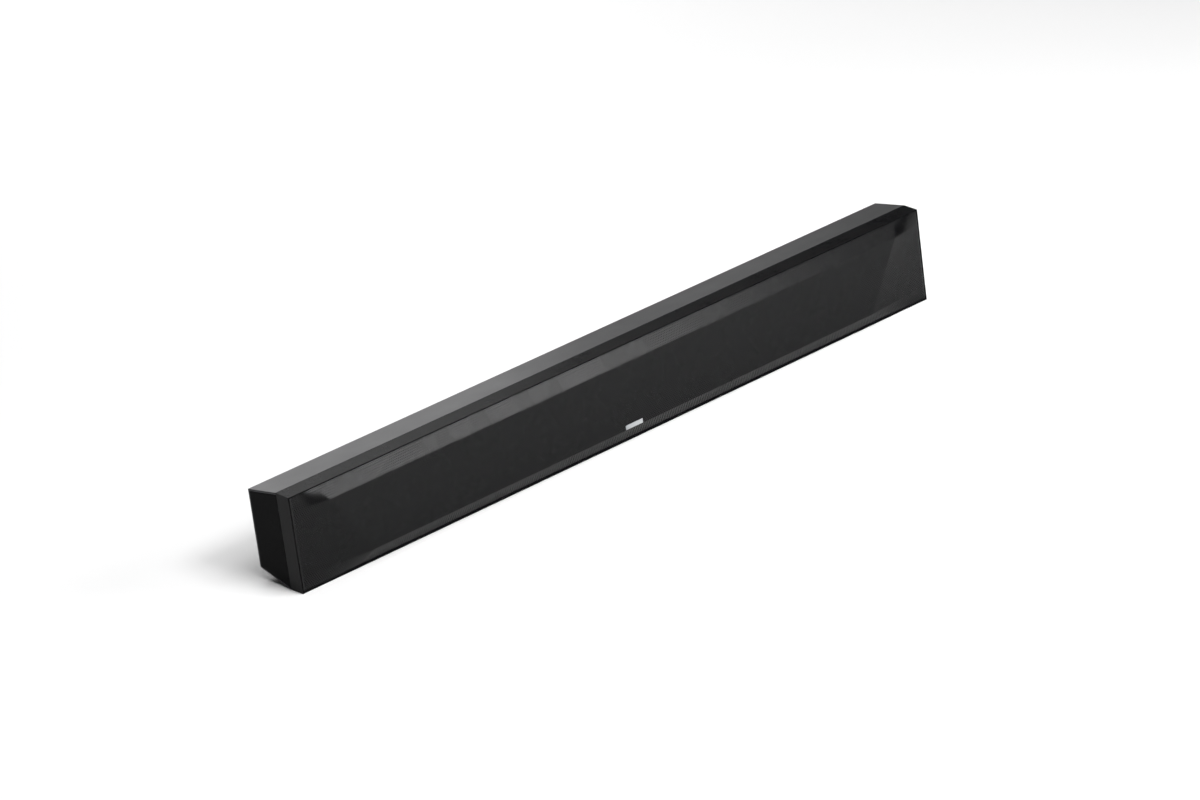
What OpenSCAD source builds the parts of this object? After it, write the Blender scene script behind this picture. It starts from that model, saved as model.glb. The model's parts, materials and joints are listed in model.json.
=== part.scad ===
// Soundbar: a faceted perforated grille in a moulded frame, on a tapering extruded housing.
// X runs along the bar, -Y is the front, Z is up. The origin is on the floor under the middle.

/* [Overall size] */
// Length of the bar
bar_length = 1000; // [960:10:1200]
// Height of the front frame
front_height = 120; // [116:1:150]
// Depth from the front of the frame to the back of the housing
body_depth = 75; // [74:0.5:95]

/* [Housing] */
// Wall of the extruded housing
housing_wall = 2.5; // [2:0.1:3.2]
// How far the top falls from the seam to the back
rear_top_drop = 8; // [4:0.5:10]
// How far the underside rises from the seam to the back
rear_bottom_rise = 14.5; // [10:0.5:17.5]
// Thickness of each end cap, which sits flush inside the end of the housing
cap_thickness = 4; // [3:0.5:6]
// Open line round each end cap
cap_gap = 0.3; // [0.2:0.1:0.6]
// How far an end cap's tongue enters the housing
cap_tongue = 8; // [5:1:10]
// Thickness of tongues and of the frame's rear strips
tongue_wall = 2; // [1.5:0.1:2.4]

/* [Front frame] */
// Depth of the frame, from its front to the seam
frame_depth = 22.5; // [21:0.5:27]
// Wall of the frame behind the grille
frame_wall = 2.5; // [2:0.1:3]
// How far the frame's top rises from its front to the seam
ridge_rise = 1; // [0:0.2:2]
// Thin front lip along the top and the ends of the grille
frame_lip = 0.8; // [0.8:0.1:1.6]
// Front lip under the grille
lower_lip = 1.8; // [1.2:0.1:2.4]
// Open seam between the frame and the housing
seam_gap = 0.4; // [0.2:0.1:0.8]
// Width of the inner flange that the baffle is screwed to
frame_flange = 14; // [13:0.5:16]

/* [Grille] */
// How far the flat middle stands proud of the frame
grille_proud = 9; // [6:0.5:12]
// Height of the sloping facets along the top and the bottom
facet_height = 18.5; // [14:0.5:24]
// Inset of the flat middle's top corners from the ends
top_inset = 50; // [40:1:70]
// Inset of the flat middle's bottom corners from the ends
bottom_inset = 101; // [70:1:130]
// Inset of the top corner facets along the top edge
top_edge_inset = 39.5; // [30:0.5:60]
// Inset of the bottom corner facets along the bottom edge
bottom_edge_inset = 80; // [50:1:110]
// Thickness of the perforated steel
sheet = 1; // [0.8:0.1:1.2]
// Open gap round the grille
grille_gap = 0.7; // [0.6:0.1:1.5]
// Depth of the grille's turned-back edge
grille_flange = 5; // [4:0.5:6]
// How far the grille's edge sits behind the frame's front
grille_recess = 0.5; // [0.3:0.1:1]
// Width of the blank badge
badge_w = 27; // [20:1:40]
// Height of the blank badge
badge_h = 5.5; // [4:0.5:8]
// Thickness of the blank badge
badge_t = 0.8; // [0.5:0.1:1.2]
// Distance of the badge's middle from the bar's middle
badge_x = 4; // [-20:1:20]

/* [Baffle and drivers] */
// Distance from the frame's front to the baffle's front face
baffle_setback = 8; // [7.5:0.5:9]
// Thickness of the baffle
baffle_t = 4; // [3:0.5:4]
// Radius of a woofer's round rim
woofer_r = 39; // [37:0.5:40]
// Height of the drivers' centres above the floor
driver_z = 60; // [56:1:75]
// Distance from the middle to the inner woofers
inner_woofer_x = 212; // [205:1:240]
// Distance between the two woofers of one side
woofer_pitch = 108; // [100:1:120]
// Distance from the outer woofer to the tweeter
tweeter_pitch = 88; // [80:1:100]
// Travel of a woofer's cone each way
woofer_travel = 3; // [1:0.5:3.5]
// Radius of a tweeter's face plate
tweeter_r = 26; // [24:0.5:30]

/* [Rear connectors] */
// Width of the connector bay
bay_w = 190; // [180:2:220]
// Height of the connector bay
bay_h = 52; // [44:1:60]
// Depth of the connector bay
bay_depth = 14; // [10:0.5:15]
// Radius of the rear buttons
button_r = 2.6; // [2:0.1:3]
// Core radius of the wall mounting inserts
insert_r = 2.5; // [2:0.1:3.2]
// Distance between the wall mounting inserts
insert_spacing = 600; // [500:10:700]

/* [Hidden] */
$fn = 64;
fit_gap = 0.2;
hole_gap = 0.1;
tiny = 0.01;

// Places along Y.
y_front = badge_t - (badge_t + grille_proud + body_depth) / 2;
y_frame = y_front + grille_proud;
y_seam = y_frame + frame_depth;
y_rear = y_frame + body_depth;
y_border = y_frame + grille_recess;
y_baffle = y_frame + baffle_setback;
y_baffle_back = y_baffle + baffle_t;
gasket_t = 1;
flange_t = 3;
y_flange = y_baffle_back + gasket_t;
taper = body_depth - frame_depth;
half_length = bar_length / 2;
cap_inner = half_length - cap_thickness;

// Slanted top and underside of the housing behind the seam, and their walls measured upright.
top_slope = rear_top_drop / taper;
under_slope = rear_bottom_rise / taper;
top_secant = sqrt(1 + top_slope * top_slope);
under_secant = sqrt(1 + under_slope * under_slope);
function top_z(y) = front_height + ridge_rise - top_slope * (y - y_seam);
function under_z(y) = under_slope * (y - y_seam);
function roof(y, inset) = top_z(y) - inset * top_secant;
function ground(y, inset) = under_z(y) + inset * under_secant;
function section(inset, y0, y1) =
    [[y0, ground(y0, inset)], [y1, ground(y1, inset)], [y1, roof(y1, inset)], [y0, roof(y0, inset)]];
rear_mid_z = (under_z(y_rear) + top_z(y_rear)) / 2;

// Grille outline, measured to the outside of its turned-back edge.
grille_x = half_length - frame_lip - grille_gap;
grille_top = front_height - frame_lip - grille_gap;
grille_bottom = lower_lip + grille_gap;
patch_steps = 4;
scrim_t = 0.5;
scrim_gap = 0.02;
carrier_w = 5;
carrier_setback = 2;

// Drivers, in their own frame: Z = 0 is the baffle's front face and +Z points into the box.
woofer_x = [for (i = [0:3])
    (i < 2 ? -1 : 1) * (inner_woofer_x + (i == 0 || i == 3 ? woofer_pitch : 0))];
tweeter_x = [for (s = [-1, 1]) s * (inner_woofer_x + woofer_pitch + tweeter_pitch)];
rim_t = 2;
seat_t = 0.6;
ear_r = 4.5;
ear_at = woofer_r + 3;
hole_r = woofer_r - 4;
basket_depth = 24;
basket_mouth = woofer_r - 7;
basket_back = woofer_r - 16;
rim_wall = 2.2;
ledge_z = 16;
coil_r = 13.2;
coil_wall = 0.6;
coil_end = 31;
gap_in = 12;
gap_out = 14;
gap_end = coil_end + woofer_travel + 1;
motor_end = 40;
cone_lip_r = woofer_r - 9.2;
cone_gap = 0.05;
dome_r = 12.7;
dome_wall = 0.5;
tweeter_mouth = dome_r + 1.5;
tweeter_body_r = 15.5;
tweeter_depth = 16;

// Boards and the rear bay.
board_t = 1.6;
y_board = y_baffle_back + 8;
board_z0 = 22;
board_z1 = 96;
bay_wall = 2;
bay_flange = 8;
y_floor_out = y_rear - bay_depth;
y_floor_in = y_floor_out - bay_wall;
socket_depth = 16;
y_io = y_floor_in - socket_depth;
mains_x = 70;
ethernet_x = 38;
hdmi_x = [10, -14];
optical_x = -34;
usb_x = -52;
button_x = [-70, -82];
button_travel = 0.8;
button_out = 0.8;
button_flange_t = 1.2;
divider_x = 160;
divider_t = 3;
wire_r = 1.6;
wire_y = y_board;
wire_z = board_z1 + 3;
insert_out_r = insert_r + 1.5;
insert_len = 10;
boss_r = insert_out_r + 3;
boss_len = 10;
foot_r = 9;
foot_x = half_length - 80;
foot_y = y_rear - 15;
guide_x = 14;
guide_r = 2.5;
window_w = 14;
window_h = 8;

// Screws: shank radius, head radius, head height.
screw_r = 1.4;
screw_head_r = 2.7;
screw_head_t = 1.5;
baffle_screw_z = frame_wall + 10;
baffle_screws_n = 7;
housing_screw_y = y_seam + 3;
housing_screws_n = 5;
strip_end = 6;
function spread(n, reach) = [for (i = [0:n - 1]) -reach + 2 * reach * i / (n - 1)];
baffle_screw_x = spread(baffle_screws_n, half_length - 22);
housing_screw_x = spread(housing_screws_n, half_length - 50);

WOOFERS = [1:4];
TWEETERS = [1:2];

// A box between two corners.
module block(low, high) {
    translate(low) cube(high - low);
}

// A profile drawn in Y and Z, carried along X.
module along_x(x0, x1) {
    translate([x0, 0, 0]) rotate([90, 0, 90]) linear_extrude(x1 - x0) children();
}

// Places a driver's own frame on the baffle.
module on_baffle(x) {
    translate([x, y_baffle, driver_z]) rotate([-90, 0, 0]) children();
}

// A rod whose axis runs along Y, from y0 to y1.
module rod_y(x, z, r, y0, y1) {
    translate([x, y0, z]) rotate([-90, 0, 0]) cylinder(r = r, h = y1 - y0);
}

// A ring of rectangular section round the front: the outline less inset, width wide.
// The lift raises its lower edge, and under thickens its lower bar.
module front_ring(inset, width, y0, y1, lift = 0, under = 0) {
    difference() {
        block([-half_length + inset, y0, inset + lift], [half_length - inset, y1, front_height - inset]);
        block([-half_length + inset + width, y0 - 1, inset + lift + width + under],
              [half_length - inset - width, y1 + 1, front_height - inset - width]);
    }
}

// ---- Housing ----

module rear_housing() {
    color("#26272a")
    difference() {
        union() {
            difference() {
                along_x(-half_length, half_length) polygon(section(0, y_seam, y_rear));
                along_x(-half_length - 1, half_length + 1)
                    polygon(section(housing_wall, y_seam - 1, y_rear - housing_wall));
            }
            for (s = [-1, 1])
                rod_y(s * insert_spacing / 2, rear_mid_z, boss_r,
                      y_rear - housing_wall - boss_len, y_rear - tiny);
        }
        for (s = [-1, 1])
            rod_y(s * insert_spacing / 2, rear_mid_z, insert_out_r,
                  y_rear - insert_len - 1, y_rear + 1);
        block([-bay_w / 2 - fit_gap, y_rear - 10, rear_mid_z - bay_h / 2 - fit_gap],
              [bay_w / 2 + fit_gap, y_rear + 1, rear_mid_z + bay_h / 2 + fit_gap]);
        at_panel_screws() screw_hole_y(y_rear);
        for (x = housing_screw_x) translate([x, housing_screw_y, 0]) {
            cylinder(r = screw_head_r + fit_gap, h = under_z(housing_screw_y) + screw_head_t);
            cylinder(r = screw_r + fit_gap, h = 10);
        }
    }
}

// A plate flush with the end of the housing, with a tongue that fits the walls behind it.
module end_cap(side) {
    plate_inset = housing_wall + cap_gap;
    core_inset = housing_wall + tongue_wall;
    color("#1d1e20")
    mirror([side < 0 ? 1 : 0, 0, 0]) {
        along_x(cap_inner, half_length) polygon(section(plate_inset, y_seam, y_rear - plate_inset));
        along_x(cap_inner - cap_tongue, cap_inner + tiny) difference() {
            polygon(section(housing_wall + tiny, y_seam + strip_end + 1, y_rear - housing_wall - tiny));
            polygon(section(core_inset, y_seam, y_rear - core_inset));
        }
    }
}

module front_frame() {
    back = y_seam - seam_gap;
    web_y = back - 3;
    strip_y = y_seam + strip_end;
    strip_x = cap_inner - cap_tongue - 4;
    top_strip = roof(strip_y, housing_wall + fit_gap);
    low_strip = ground(strip_y, housing_wall + fit_gap);
    color("#1b1c1e")
    difference() {
        union() {
            front_ring(0, frame_lip, y_frame, y_baffle + tiny, 0, lower_lip - frame_lip);
            front_ring(0, frame_wall, y_baffle, back);
            along_x(-half_length, half_length) polygon([[y_frame, front_height - tiny],
                [back, front_height - tiny],
                [back, front_height + ridge_rise * (back - y_frame) / frame_depth],
                [y_frame, front_height]]);
            front_ring(frame_wall - tiny, frame_flange, y_flange, y_flange + flange_t);
            block([-strip_x, web_y, top_strip - tongue_wall],
                [strip_x, back, front_height - frame_wall / 2]);
            block([-strip_x, web_y, frame_wall / 2], [strip_x, back, low_strip + tongue_wall]);
            block([-strip_x, web_y, top_strip - tongue_wall], [strip_x, strip_y, top_strip]);
            block([-strip_x, web_y, low_strip], [strip_x, strip_y, low_strip + tongue_wall]);
        }
        at_baffle_screws() rod_y(0, 0, screw_r + hole_gap, y_flange - 1, y_flange + flange_t + 1);
        for (x = housing_screw_x)
            translate([x, housing_screw_y, frame_wall]) cylinder(r = screw_r + hole_gap, h = 10);
    }
}

// ---- Grille ----

// Four corner lines, from the bottom edge up: half width of the middle, height and depth.
line_x = [half_length - bottom_edge_inset, half_length - bottom_inset,
          half_length - top_inset, half_length - top_edge_inset];
function line_z(inset) = [grille_bottom + inset, facet_height,
                          front_height - facet_height, grille_top - inset];
line_out = [0, 1, 1, 0];
function mix(a, b, t) = a + (b - a) * t;

// A point of the faceted skin: row 0 to 3, column -2 to 2 with the middle between -1 and 1.
function skin_point(row, col, inset, back) =
    let (k = min(floor(row), 2), t = row - k)
    let (x_in = mix(line_x[k], line_x[k + 1], t))
    let (out = mix(line_out[k], line_out[k + 1], t))
    let (z = mix(line_z(inset)[k], line_z(inset)[k + 1], t))
    let (u = max(0, abs(col) - 1), s = sign(col))
    [s * mix(x_in, grille_x - inset, u),
     mix(y_border - out * (y_border - y_front), y_border, u) + back,
     z];

// The rows and columns of the skin: the middle is one wide cell, each end is patch_steps cells.
skin_rows = [for (i = [0:3 * patch_steps]) i / patch_steps];
skin_cols = concat([for (i = [0:patch_steps]) -2 + i / patch_steps],
                   [for (i = [0:patch_steps]) 1 + i / patch_steps]);

module faceted_skin(inset, back, thickness) {
    rows = len(skin_rows);
    cols = len(skin_cols);
    layer = rows * cols;
    pts = [for (b = [back, back + thickness]) for (r = skin_rows) for (c = skin_cols)
        skin_point(r, c, inset, b)];
    cells = [for (r = [0:rows - 2]) for (c = [0:cols - 2]) r * cols + c];
    front = [for (p = cells) each [[p, p + cols, p + 1], [p + 1, p + cols, p + cols + 1]]];
    rear = [for (f = front) [f[0] + layer, f[2] + layer, f[1] + layer]];
    rim = concat([for (c = [0:cols - 1]) c],
                 [for (r = [1:rows - 1]) r * cols + cols - 1],
                 [for (c = [cols - 2:-1:0]) (rows - 1) * cols + c],
                 [for (r = [rows - 2:-1:1]) r * cols]);
    n = len(rim);
    sides = [for (i = [0:n - 1])
        each [[rim[i], rim[(i + 1) % n], rim[i] + layer],
              [rim[(i + 1) % n], rim[(i + 1) % n] + layer, rim[i] + layer]]];
    polyhedron(pts, concat(front, rear, sides));
}

module grille_panel() {
    color("#2f3032") {
        faceted_skin(0, 0, sheet);
        front_ring(frame_lip + grille_gap, sheet, y_border, y_border + grille_flange,
            lower_lip - frame_lip);
    }
}

module grille_scrim() {
    color("#0c0c0d") faceted_skin(sheet + fit_gap, sheet + scrim_gap, scrim_t);
}

module grille_carrier() {
    color("#111112")
    front_ring(frame_lip + grille_gap + sheet, carrier_w, y_border + carrier_setback, y_baffle,
               lower_lip - frame_lip);
}

module badge_plate() {
    color("#b9bbbd")
    block([badge_x - badge_w / 2, y_front - badge_t, facet_height + 0.5],
          [badge_x + badge_w / 2, y_front, facet_height + 0.5 + badge_h]);
}

// ---- Baffle ----

module at_baffle_screws() {
    for (x = baffle_screw_x)
        for (z = [baffle_screw_z, front_height - baffle_screw_z])
            translate([x, 0, z]) children();
}

module at_woofer_screws() {
    for (a = [45:90:315]) rotate(a) translate([ear_at, 0, 0]) children();
}

module at_tweeter_screws() {
    for (a = [30:120:270]) rotate(a) translate([(tweeter_body_r + tweeter_r) / 2 + 0.5, 0, 0]) children();
}

module baffle() {
    edge = frame_wall + fit_gap;
    color("#3a2f28")
    difference() {
        block([-half_length + edge, y_baffle, edge],
              [half_length - edge, y_baffle_back, front_height - edge]);
        for (x = woofer_x) on_baffle(x) {
            translate([0, 0, -1]) cylinder(r = hole_r, h = baffle_t + 2);
            at_woofer_screws() translate([0, 0, -1]) cylinder(r = screw_r + hole_gap, h = baffle_t + 2);
        }
        for (x = tweeter_x) on_baffle(x) {
            translate([0, 0, -1]) cylinder(r = tweeter_body_r + 0.5, h = baffle_t + 2);
            at_tweeter_screws() translate([0, 0, -1]) cylinder(r = screw_r + hole_gap, h = baffle_t + 2);
        }
        at_baffle_screws() rod_y(0, 0, screw_r + hole_gap, y_baffle - 1, y_baffle_back + 1);
        rod_y(-guide_x, driver_z, guide_r + fit_gap, y_baffle - 1, y_baffle_back + 1);
        block([guide_x - window_w / 2 - fit_gap, y_baffle - 1, driver_z - window_h / 2 - fit_gap],
              [guide_x + window_w / 2 + fit_gap, y_baffle_back + 1, driver_z + window_h / 2 + fit_gap]);
    }
}

module baffle_gasket() {
    gasket_w = 5;
    color("#202020") front_ring(frame_wall + 1, gasket_w, y_baffle_back, y_flange);
}

// ---- Woofers ----

module woofer_basket(i) {
    ledge_w = 4;
    color("#4a4c50")
    on_baffle(woofer_x[i - 1]) difference() {
        union() {
            rotate_extrude() polygon([[basket_mouth, -seat_t], [woofer_r - 2, -seat_t],
                [woofer_r - 2, -rim_t], [woofer_r, -rim_t], [woofer_r, 0], [basket_mouth + rim_wall, 0],
                [basket_back + 2, basket_depth - 2], [basket_back + 2, basket_depth],
                [gap_out + 0.5, basket_depth], [gap_out + 0.5, basket_depth - 1.6],
                [basket_back, basket_depth - 1.6], [basket_mouth, 0]]);
            rotate_extrude() polygon([[basket_back - 2, ledge_z], [basket_back + ledge_w - 1, ledge_z],
                [basket_back + ledge_w - 1.6, ledge_z + 1.5], [basket_back - 2, ledge_z + 1.5]]);
            at_woofer_screws() translate([0, 0, -rim_t]) difference() {
                cylinder(r = ear_r, h = rim_t);
                translate([-ear_at, 0, -1]) cylinder(r = woofer_r - 1, h = rim_t + 2);
            }
            translate([-4, -basket_mouth - 1, 8]) cube([8, 6, 6]);
        }
        at_woofer_screws() translate([0, 0, -rim_t - 1]) cylinder(r = screw_r + fit_gap, h = rim_t + 2);
        for (a = [45:90:315]) rotate(a) translate([basket_mouth / 2, -7, 3]) cube([woofer_r, 14, 11]);
    }
}

module woofer_motor(i) {
    plate_t = 4;
    color("#2b2b2e")
    on_baffle(woofer_x[i - 1]) rotate_extrude()
        polygon([[0, basket_depth], [gap_in, basket_depth], [gap_in, gap_end], [gap_out, gap_end],
            [gap_out, basket_depth], [21, basket_depth], [21, basket_depth + plate_t],
            [24, basket_depth + plate_t], [24, motor_end - plate_t], [22, motor_end - plate_t],
            [22, motor_end], [0, motor_end]]);
}

// Points on a quarter of an ellipse from the rim at (r, z) to the axis, h nearer the front.
function cap_arc(r, z, h, n) = [for (i = [0:n]) [r * cos(90 * i / n), z - h * sin(90 * i / n)]];

module woofer_cone(i) {
    neck_z = 13.4;
    cap_h = 5.4;
    inner = coil_r - coil_wall;
    cap = cap_arc(coil_r + 0.8, neck_z - 0.7, cap_h + 0.2, 8);
    color("#17181a")
    on_baffle(woofer_x[i - 1]) rotate_extrude() polygon(concat(
        [[cone_lip_r, -seat_t + cone_gap], [cone_lip_r, 0], [cone_lip_r - 0.9, 0], [coil_r, neck_z],
         [coil_r, coil_end], [inner, coil_end]],
        cap_arc(inner, neck_z - 0.3, cap_h, 8),
        [for (i = [len(cap) - 1:-1:0]) cap[i]],
        [[cone_lip_r - 1.6, -seat_t + cone_gap]]));
}

// A half roll between two flat lips.
module surround_ring(r_in, r_roll, r_out, z, t) {
    mid = (r_roll + r_in) / 2;
    out = (r_roll - r_in) / 2;
    rotate_extrude() {
        difference() {
            translate([mid, z]) circle(r = out);
            translate([mid, z]) circle(r = out - t);
            translate([0, z]) square([r_out, out + 1]);
        }
        translate([r_in - 1.6, z - t / 2]) square([1.6 + t, t / 2]);
        translate([r_roll - t, z - t]) square([r_out - r_roll + t, t]);
    }
}

module woofer_surround(i) {
    color("#0f0f10")
    on_baffle(woofer_x[i - 1])
        surround_ring(cone_lip_r, basket_mouth + 1.6, woofer_r - 2.2, -seat_t, seat_t);
}

module woofer_spider(i) {
    r0 = coil_r + cone_gap;
    r1 = basket_back + 1.5;
    waves = 3;
    n = 18;
    t = 0.5;
    flat = basket_back - 2;
    function wave(r) = r < flat ? 0.7 * (1 - cos(360 * waves * (flat - r) / (flat - r0))) : 0;
    rim = [for (i = [0:n]) let (r = r0 + (r1 - r0) * i / n) [r, ledge_z - t - wave(r)]];
    color("#8a5a2a")
    on_baffle(woofer_x[i - 1]) rotate_extrude()
        polygon(concat(rim, [for (i = [n:-1:0]) [rim[i][0], rim[i][1] + t]]));
}

// ---- Tweeters ----

module tweeter_body(i) {
    pole_r = dome_r - 1.1;
    ring_r = dome_r + 0.7;
    color("#2b2b2e")
    on_baffle(tweeter_x[i - 1]) difference() {
        rotate_extrude() polygon([[0, 3], [pole_r, 3], [pole_r, 9], [ring_r, 9], [ring_r, 0],
            [tweeter_mouth, 0], [tweeter_mouth, -rim_t], [tweeter_r, -rim_t], [tweeter_r, 0],
            [tweeter_body_r, 0], [tweeter_body_r, tweeter_depth], [0, tweeter_depth]]);
        at_tweeter_screws() translate([0, 0, -rim_t - 1]) cylinder(r = screw_r + fit_gap, h = rim_t + 2);
    }
}

module tweeter_dome(i) {
    base_z = -0.6;
    dome_h = 5;
    inner = dome_r - dome_wall;
    cap = cap_arc(dome_r, base_z, dome_h, 10);
    color("#6d6f73")
    on_baffle(tweeter_x[i - 1]) rotate_extrude() polygon(concat(
        [[dome_r, 6], [inner, 6]],
        cap_arc(inner, base_z, dome_h - dome_wall, 10),
        [for (i = [len(cap) - 1:-1:0]) cap[i]]));
}

module tweeter_surround(i) {
    lip = 0.3;
    color("#0f0f10")
    on_baffle(tweeter_x[i - 1]) rotate_extrude() difference() {
        translate([(dome_r + tweeter_mouth) / 2, -1.2]) circle(r = (tweeter_mouth - dome_r) / 2 - cone_gap);
        translate([(dome_r + tweeter_mouth) / 2, -1.2]) circle(r = (tweeter_mouth - dome_r) / 2 - lip);
        translate([0, -1.2]) square([tweeter_r, 2]);
    }
}

// ---- Screws ----

// A pan head screw in a driver's own frame, whose head rests at z.
module driver_screw(z, length) {
    translate([0, 0, z - screw_head_t]) cylinder(r = screw_head_r, h = screw_head_t);
    translate([0, 0, z - tiny]) cylinder(r = screw_r, h = length);
}

// The screws that hold the drivers to the baffle, and the baffle to the frame.
module front_screws() {
    grip = baffle_t + rim_t + 2;
    color("#3c3d40") {
        for (x = woofer_x) on_baffle(x) at_woofer_screws() driver_screw(-rim_t, grip);
        for (x = tweeter_x) on_baffle(x) at_tweeter_screws() driver_screw(-rim_t, grip);
        at_baffle_screws() {
            rod_y(0, 0, screw_head_r, y_baffle - screw_head_t, y_baffle);
            rod_y(0, 0, screw_r, y_baffle - tiny, y_flange + flange_t + 2);
        }
    }
}

// Sunk screws: a row through the underside into the frame, and four round the rear bay.
module housing_screws() {
    sunk = 0.3;
    length = 8;
    color("#3c3d40") {
        for (x = housing_screw_x) translate([x, housing_screw_y, under_z(housing_screw_y) + sunk]) {
            cylinder(r = screw_head_r, h = screw_head_t - sunk);
            cylinder(r = screw_r, h = length);
        }
        at_panel_screws() {
            rod_y(0, 0, screw_head_r, y_rear - screw_head_t, y_rear - sunk);
            rod_y(0, 0, screw_r, y_rear - length, y_rear - screw_head_t + tiny);
        }
    }
}

module at_panel_screws() {
    for (sx = [-1, 1])
        for (sz = [-1, 1])
            translate([sx * (bay_w / 2 + bay_flange / 2), 0, rear_mid_z + sz * (bay_h / 2 - 6)])
                children();
}

module screw_hole_y(y) {
    rod_y(0, 0, screw_head_r + fit_gap, y - screw_head_t, y + 1);
    rod_y(0, 0, screw_r + fit_gap, y - 10, y);
}

// ---- Inside ----

module divider(side) {
    edge = frame_wall + frame_flange + 0.5;
    step_y = y_seam + strip_end + 0.5;
    back = y_rear - housing_wall - fit_gap;
    inset = housing_wall + fit_gap;
    x = side * divider_x;
    color("#2a2a2c")
    difference() {
        along_x(x - divider_t / 2, x + divider_t / 2) polygon([[y_baffle_back, edge], [step_y, edge],
            [step_y, ground(step_y, inset)], [back, ground(back, inset)], [back, roof(back, inset)],
            [step_y, roof(step_y, inset)], [step_y, front_height - edge],
            [y_baffle_back, front_height - edge]]);
        translate([x - divider_t, wire_y, wire_z]) rotate([0, 90, 0])
            cylinder(r = wire_r + fit_gap, h = 2 * divider_t);
    }
}

module wadding(side) {
    front = y_baffle + motor_end + 1;
    back = y_rear - housing_wall;
    inset = housing_wall + 1;
    color("#c9c6bd")
    mirror([side < 0 ? 1 : 0, 0, 0]) difference() {
        along_x(divider_x + divider_t / 2 + 1, cap_inner - cap_tongue - 2)
            polygon(section(inset, front, back));
        rod_y(insert_spacing / 2, rear_mid_z, boss_r + 1, y_rear - housing_wall - boss_len - 1, y_rear);
    }
}

// A wire from high to low at x, in the plane of the wiring run.
module wire_drop(x, low_z) {
    translate([x, wire_y, wire_z]) sphere(r = wire_r);
    translate([x, wire_y, low_z]) cylinder(r = wire_r, h = wire_z - low_z);
}

module side_wiring(side) {
    start = side < 0 ? 30 : 60;
    lug_top = driver_z + basket_mouth + 1;
    drops = [for (x = woofer_x) if (x * side > 0) x];
    tweeter_end = tweeter_x[side < 0 ? 0 : 1];
    far = tweeter_end;
    translate([min(start, far), wire_y, wire_z]) rotate([0, 90, 0])
        cylinder(r = wire_r, h = abs(far - start));
    wire_drop(start, board_z1);
    for (x = drops) wire_drop(x, lug_top);
    wire_drop(tweeter_end, driver_z + tweeter_body_r + 0.1);
}

module speaker_wiring() {
    color("#8d1f1f")
    for (side = [-1, 1]) side_wiring(side);
}

module power_supply() {
    x0 = -148;
    x1 = -8;
    y1 = y_board + board_t;
    color("#20452c")
    block([x0, y_board, board_z0], [x1, y1, board_z1]);
    color("#d8b040") block([-100, y1, 40], [-62, y1 + 18, 74]);
    color("#30343a") {
        rod_y(-132, 78, 9, y1, y1 + 18);
        rod_y(-132, 54, 9, y1, y1 + 18);
        rod_y(-40, 80, 5, y1, y1 + 12);
        rod_y(-26, 80, 5, y1, y1 + 12);
        block([-130, y1, 28], [-110, y1 + 14, 40]);
        block([-46, y1, 30], [-20, y1 + 15, 38]);
    }
}

module amplifier_board() {
    x0 = 8;
    x1 = 148;
    y1 = y_board + board_t;
    color("#20452c")
    block([x0, y_board, board_z0], [x1, y1, board_z1]);
    color("#141416") {
        for (x = [40, 76]) block([x, y1, 46], [x + 14, y1 + 2, 64]);
        block([114, y1, 60], [134, y1 + 2, 80]);
        block([24, y_board - 2.4, 88], [66, y_board, board_z1]);
    }
    color("#4a4a4e")
    for (x = [20, 34, 48, 62, 76, 90]) rod_y(x, 30, 5, y1, y1 + 9);
}

module heat_sink() {
    y0 = y_board + board_t + 2;
    fins = 9;
    pitch = 7.25;
    color("#b4b7ba") {
        block([34, y0, 42], [96, y0 + 3, 68]);
        for (i = [0:fins - 1]) translate([34 + i * pitch, y0 + 3 - tiny, 42]) cube([1.6, 11, 26]);
    }
}

module at_board_posts() {
    for (x = [-142, -14, 14, 142]) for (z = [board_z0 + 6, board_z1 - 14]) translate([x, 0, z]) children();
}

module board_standoffs() {
    color("#c8a85a") at_board_posts() rod_y(0, 0, 3, y_baffle_back, y_board);
}

// The board behind the sockets, with the two tactile switches.
module connector_board() {
    half = bay_w / 2 - 4;
    color("#20452c")
    block([-half, y_io - board_t, rear_mid_z - 18], [half, y_io, rear_mid_z + 18]);
    color("#3a3a3d")
    for (x = button_x) {
        socket_box(x, 6, 6, y_io - tiny, y_io + switch_h);
        rod_y(x, rear_mid_z, 1.7, y_io + switch_h - tiny, y_io + switch_h + plunger_h);
    }
}

// ---- Rear bay and its sockets ----

module connector_bay() {
    half_w = bay_w / 2;
    low = rear_mid_z - bay_h / 2;
    high = rear_mid_z + bay_h / 2;
    flange_y = y_rear - housing_wall;
    cut = fit_gap;
    color("#232427")
    difference() {
        union() {
            block([-half_w, y_floor_in, low], [half_w, y_rear, high]);
            block([-half_w - bay_flange, flange_y - bay_wall, low], [half_w + bay_flange, flange_y, high]);
            for (sx = [-1, 1])
                for (sz = [-1, 1])
                    rod_y(sx * (half_w - 7), rear_mid_z + sz * 14, 2.5, y_io, y_floor_in + tiny);
        }
        block([-half_w + bay_wall, y_floor_out, low + bay_wall],
              [half_w - bay_wall, y_rear + 1, high - bay_wall]);
        socket_cut(mains_x, mains_w, mains_h);
        socket_cut(ethernet_x, ethernet_w, ethernet_h);
        for (x = hdmi_x) socket_cut(x, hdmi_w, hdmi_h);
        socket_cut(optical_x, optical_w, optical_w);
        socket_cut(usb_x, usb_w, usb_h);
        for (x = button_x) rod_y(x, rear_mid_z, button_r + 0.3, y_floor_in - 1, y_floor_out + 1);
        at_panel_screws() rod_y(0, 0, screw_r + hole_gap, flange_y - 10, flange_y + 1);
    }
}

mains_w = 26;
mains_h = 19;
mains_pitch = 8.6;
mains_depth = 13;
ethernet_w = 16;
ethernet_h = 13.5;
hdmi_w = 15.6;
hdmi_h = 6.4;
optical_w = 10;
usb_w = 14.5;
usb_h = 7.2;

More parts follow.
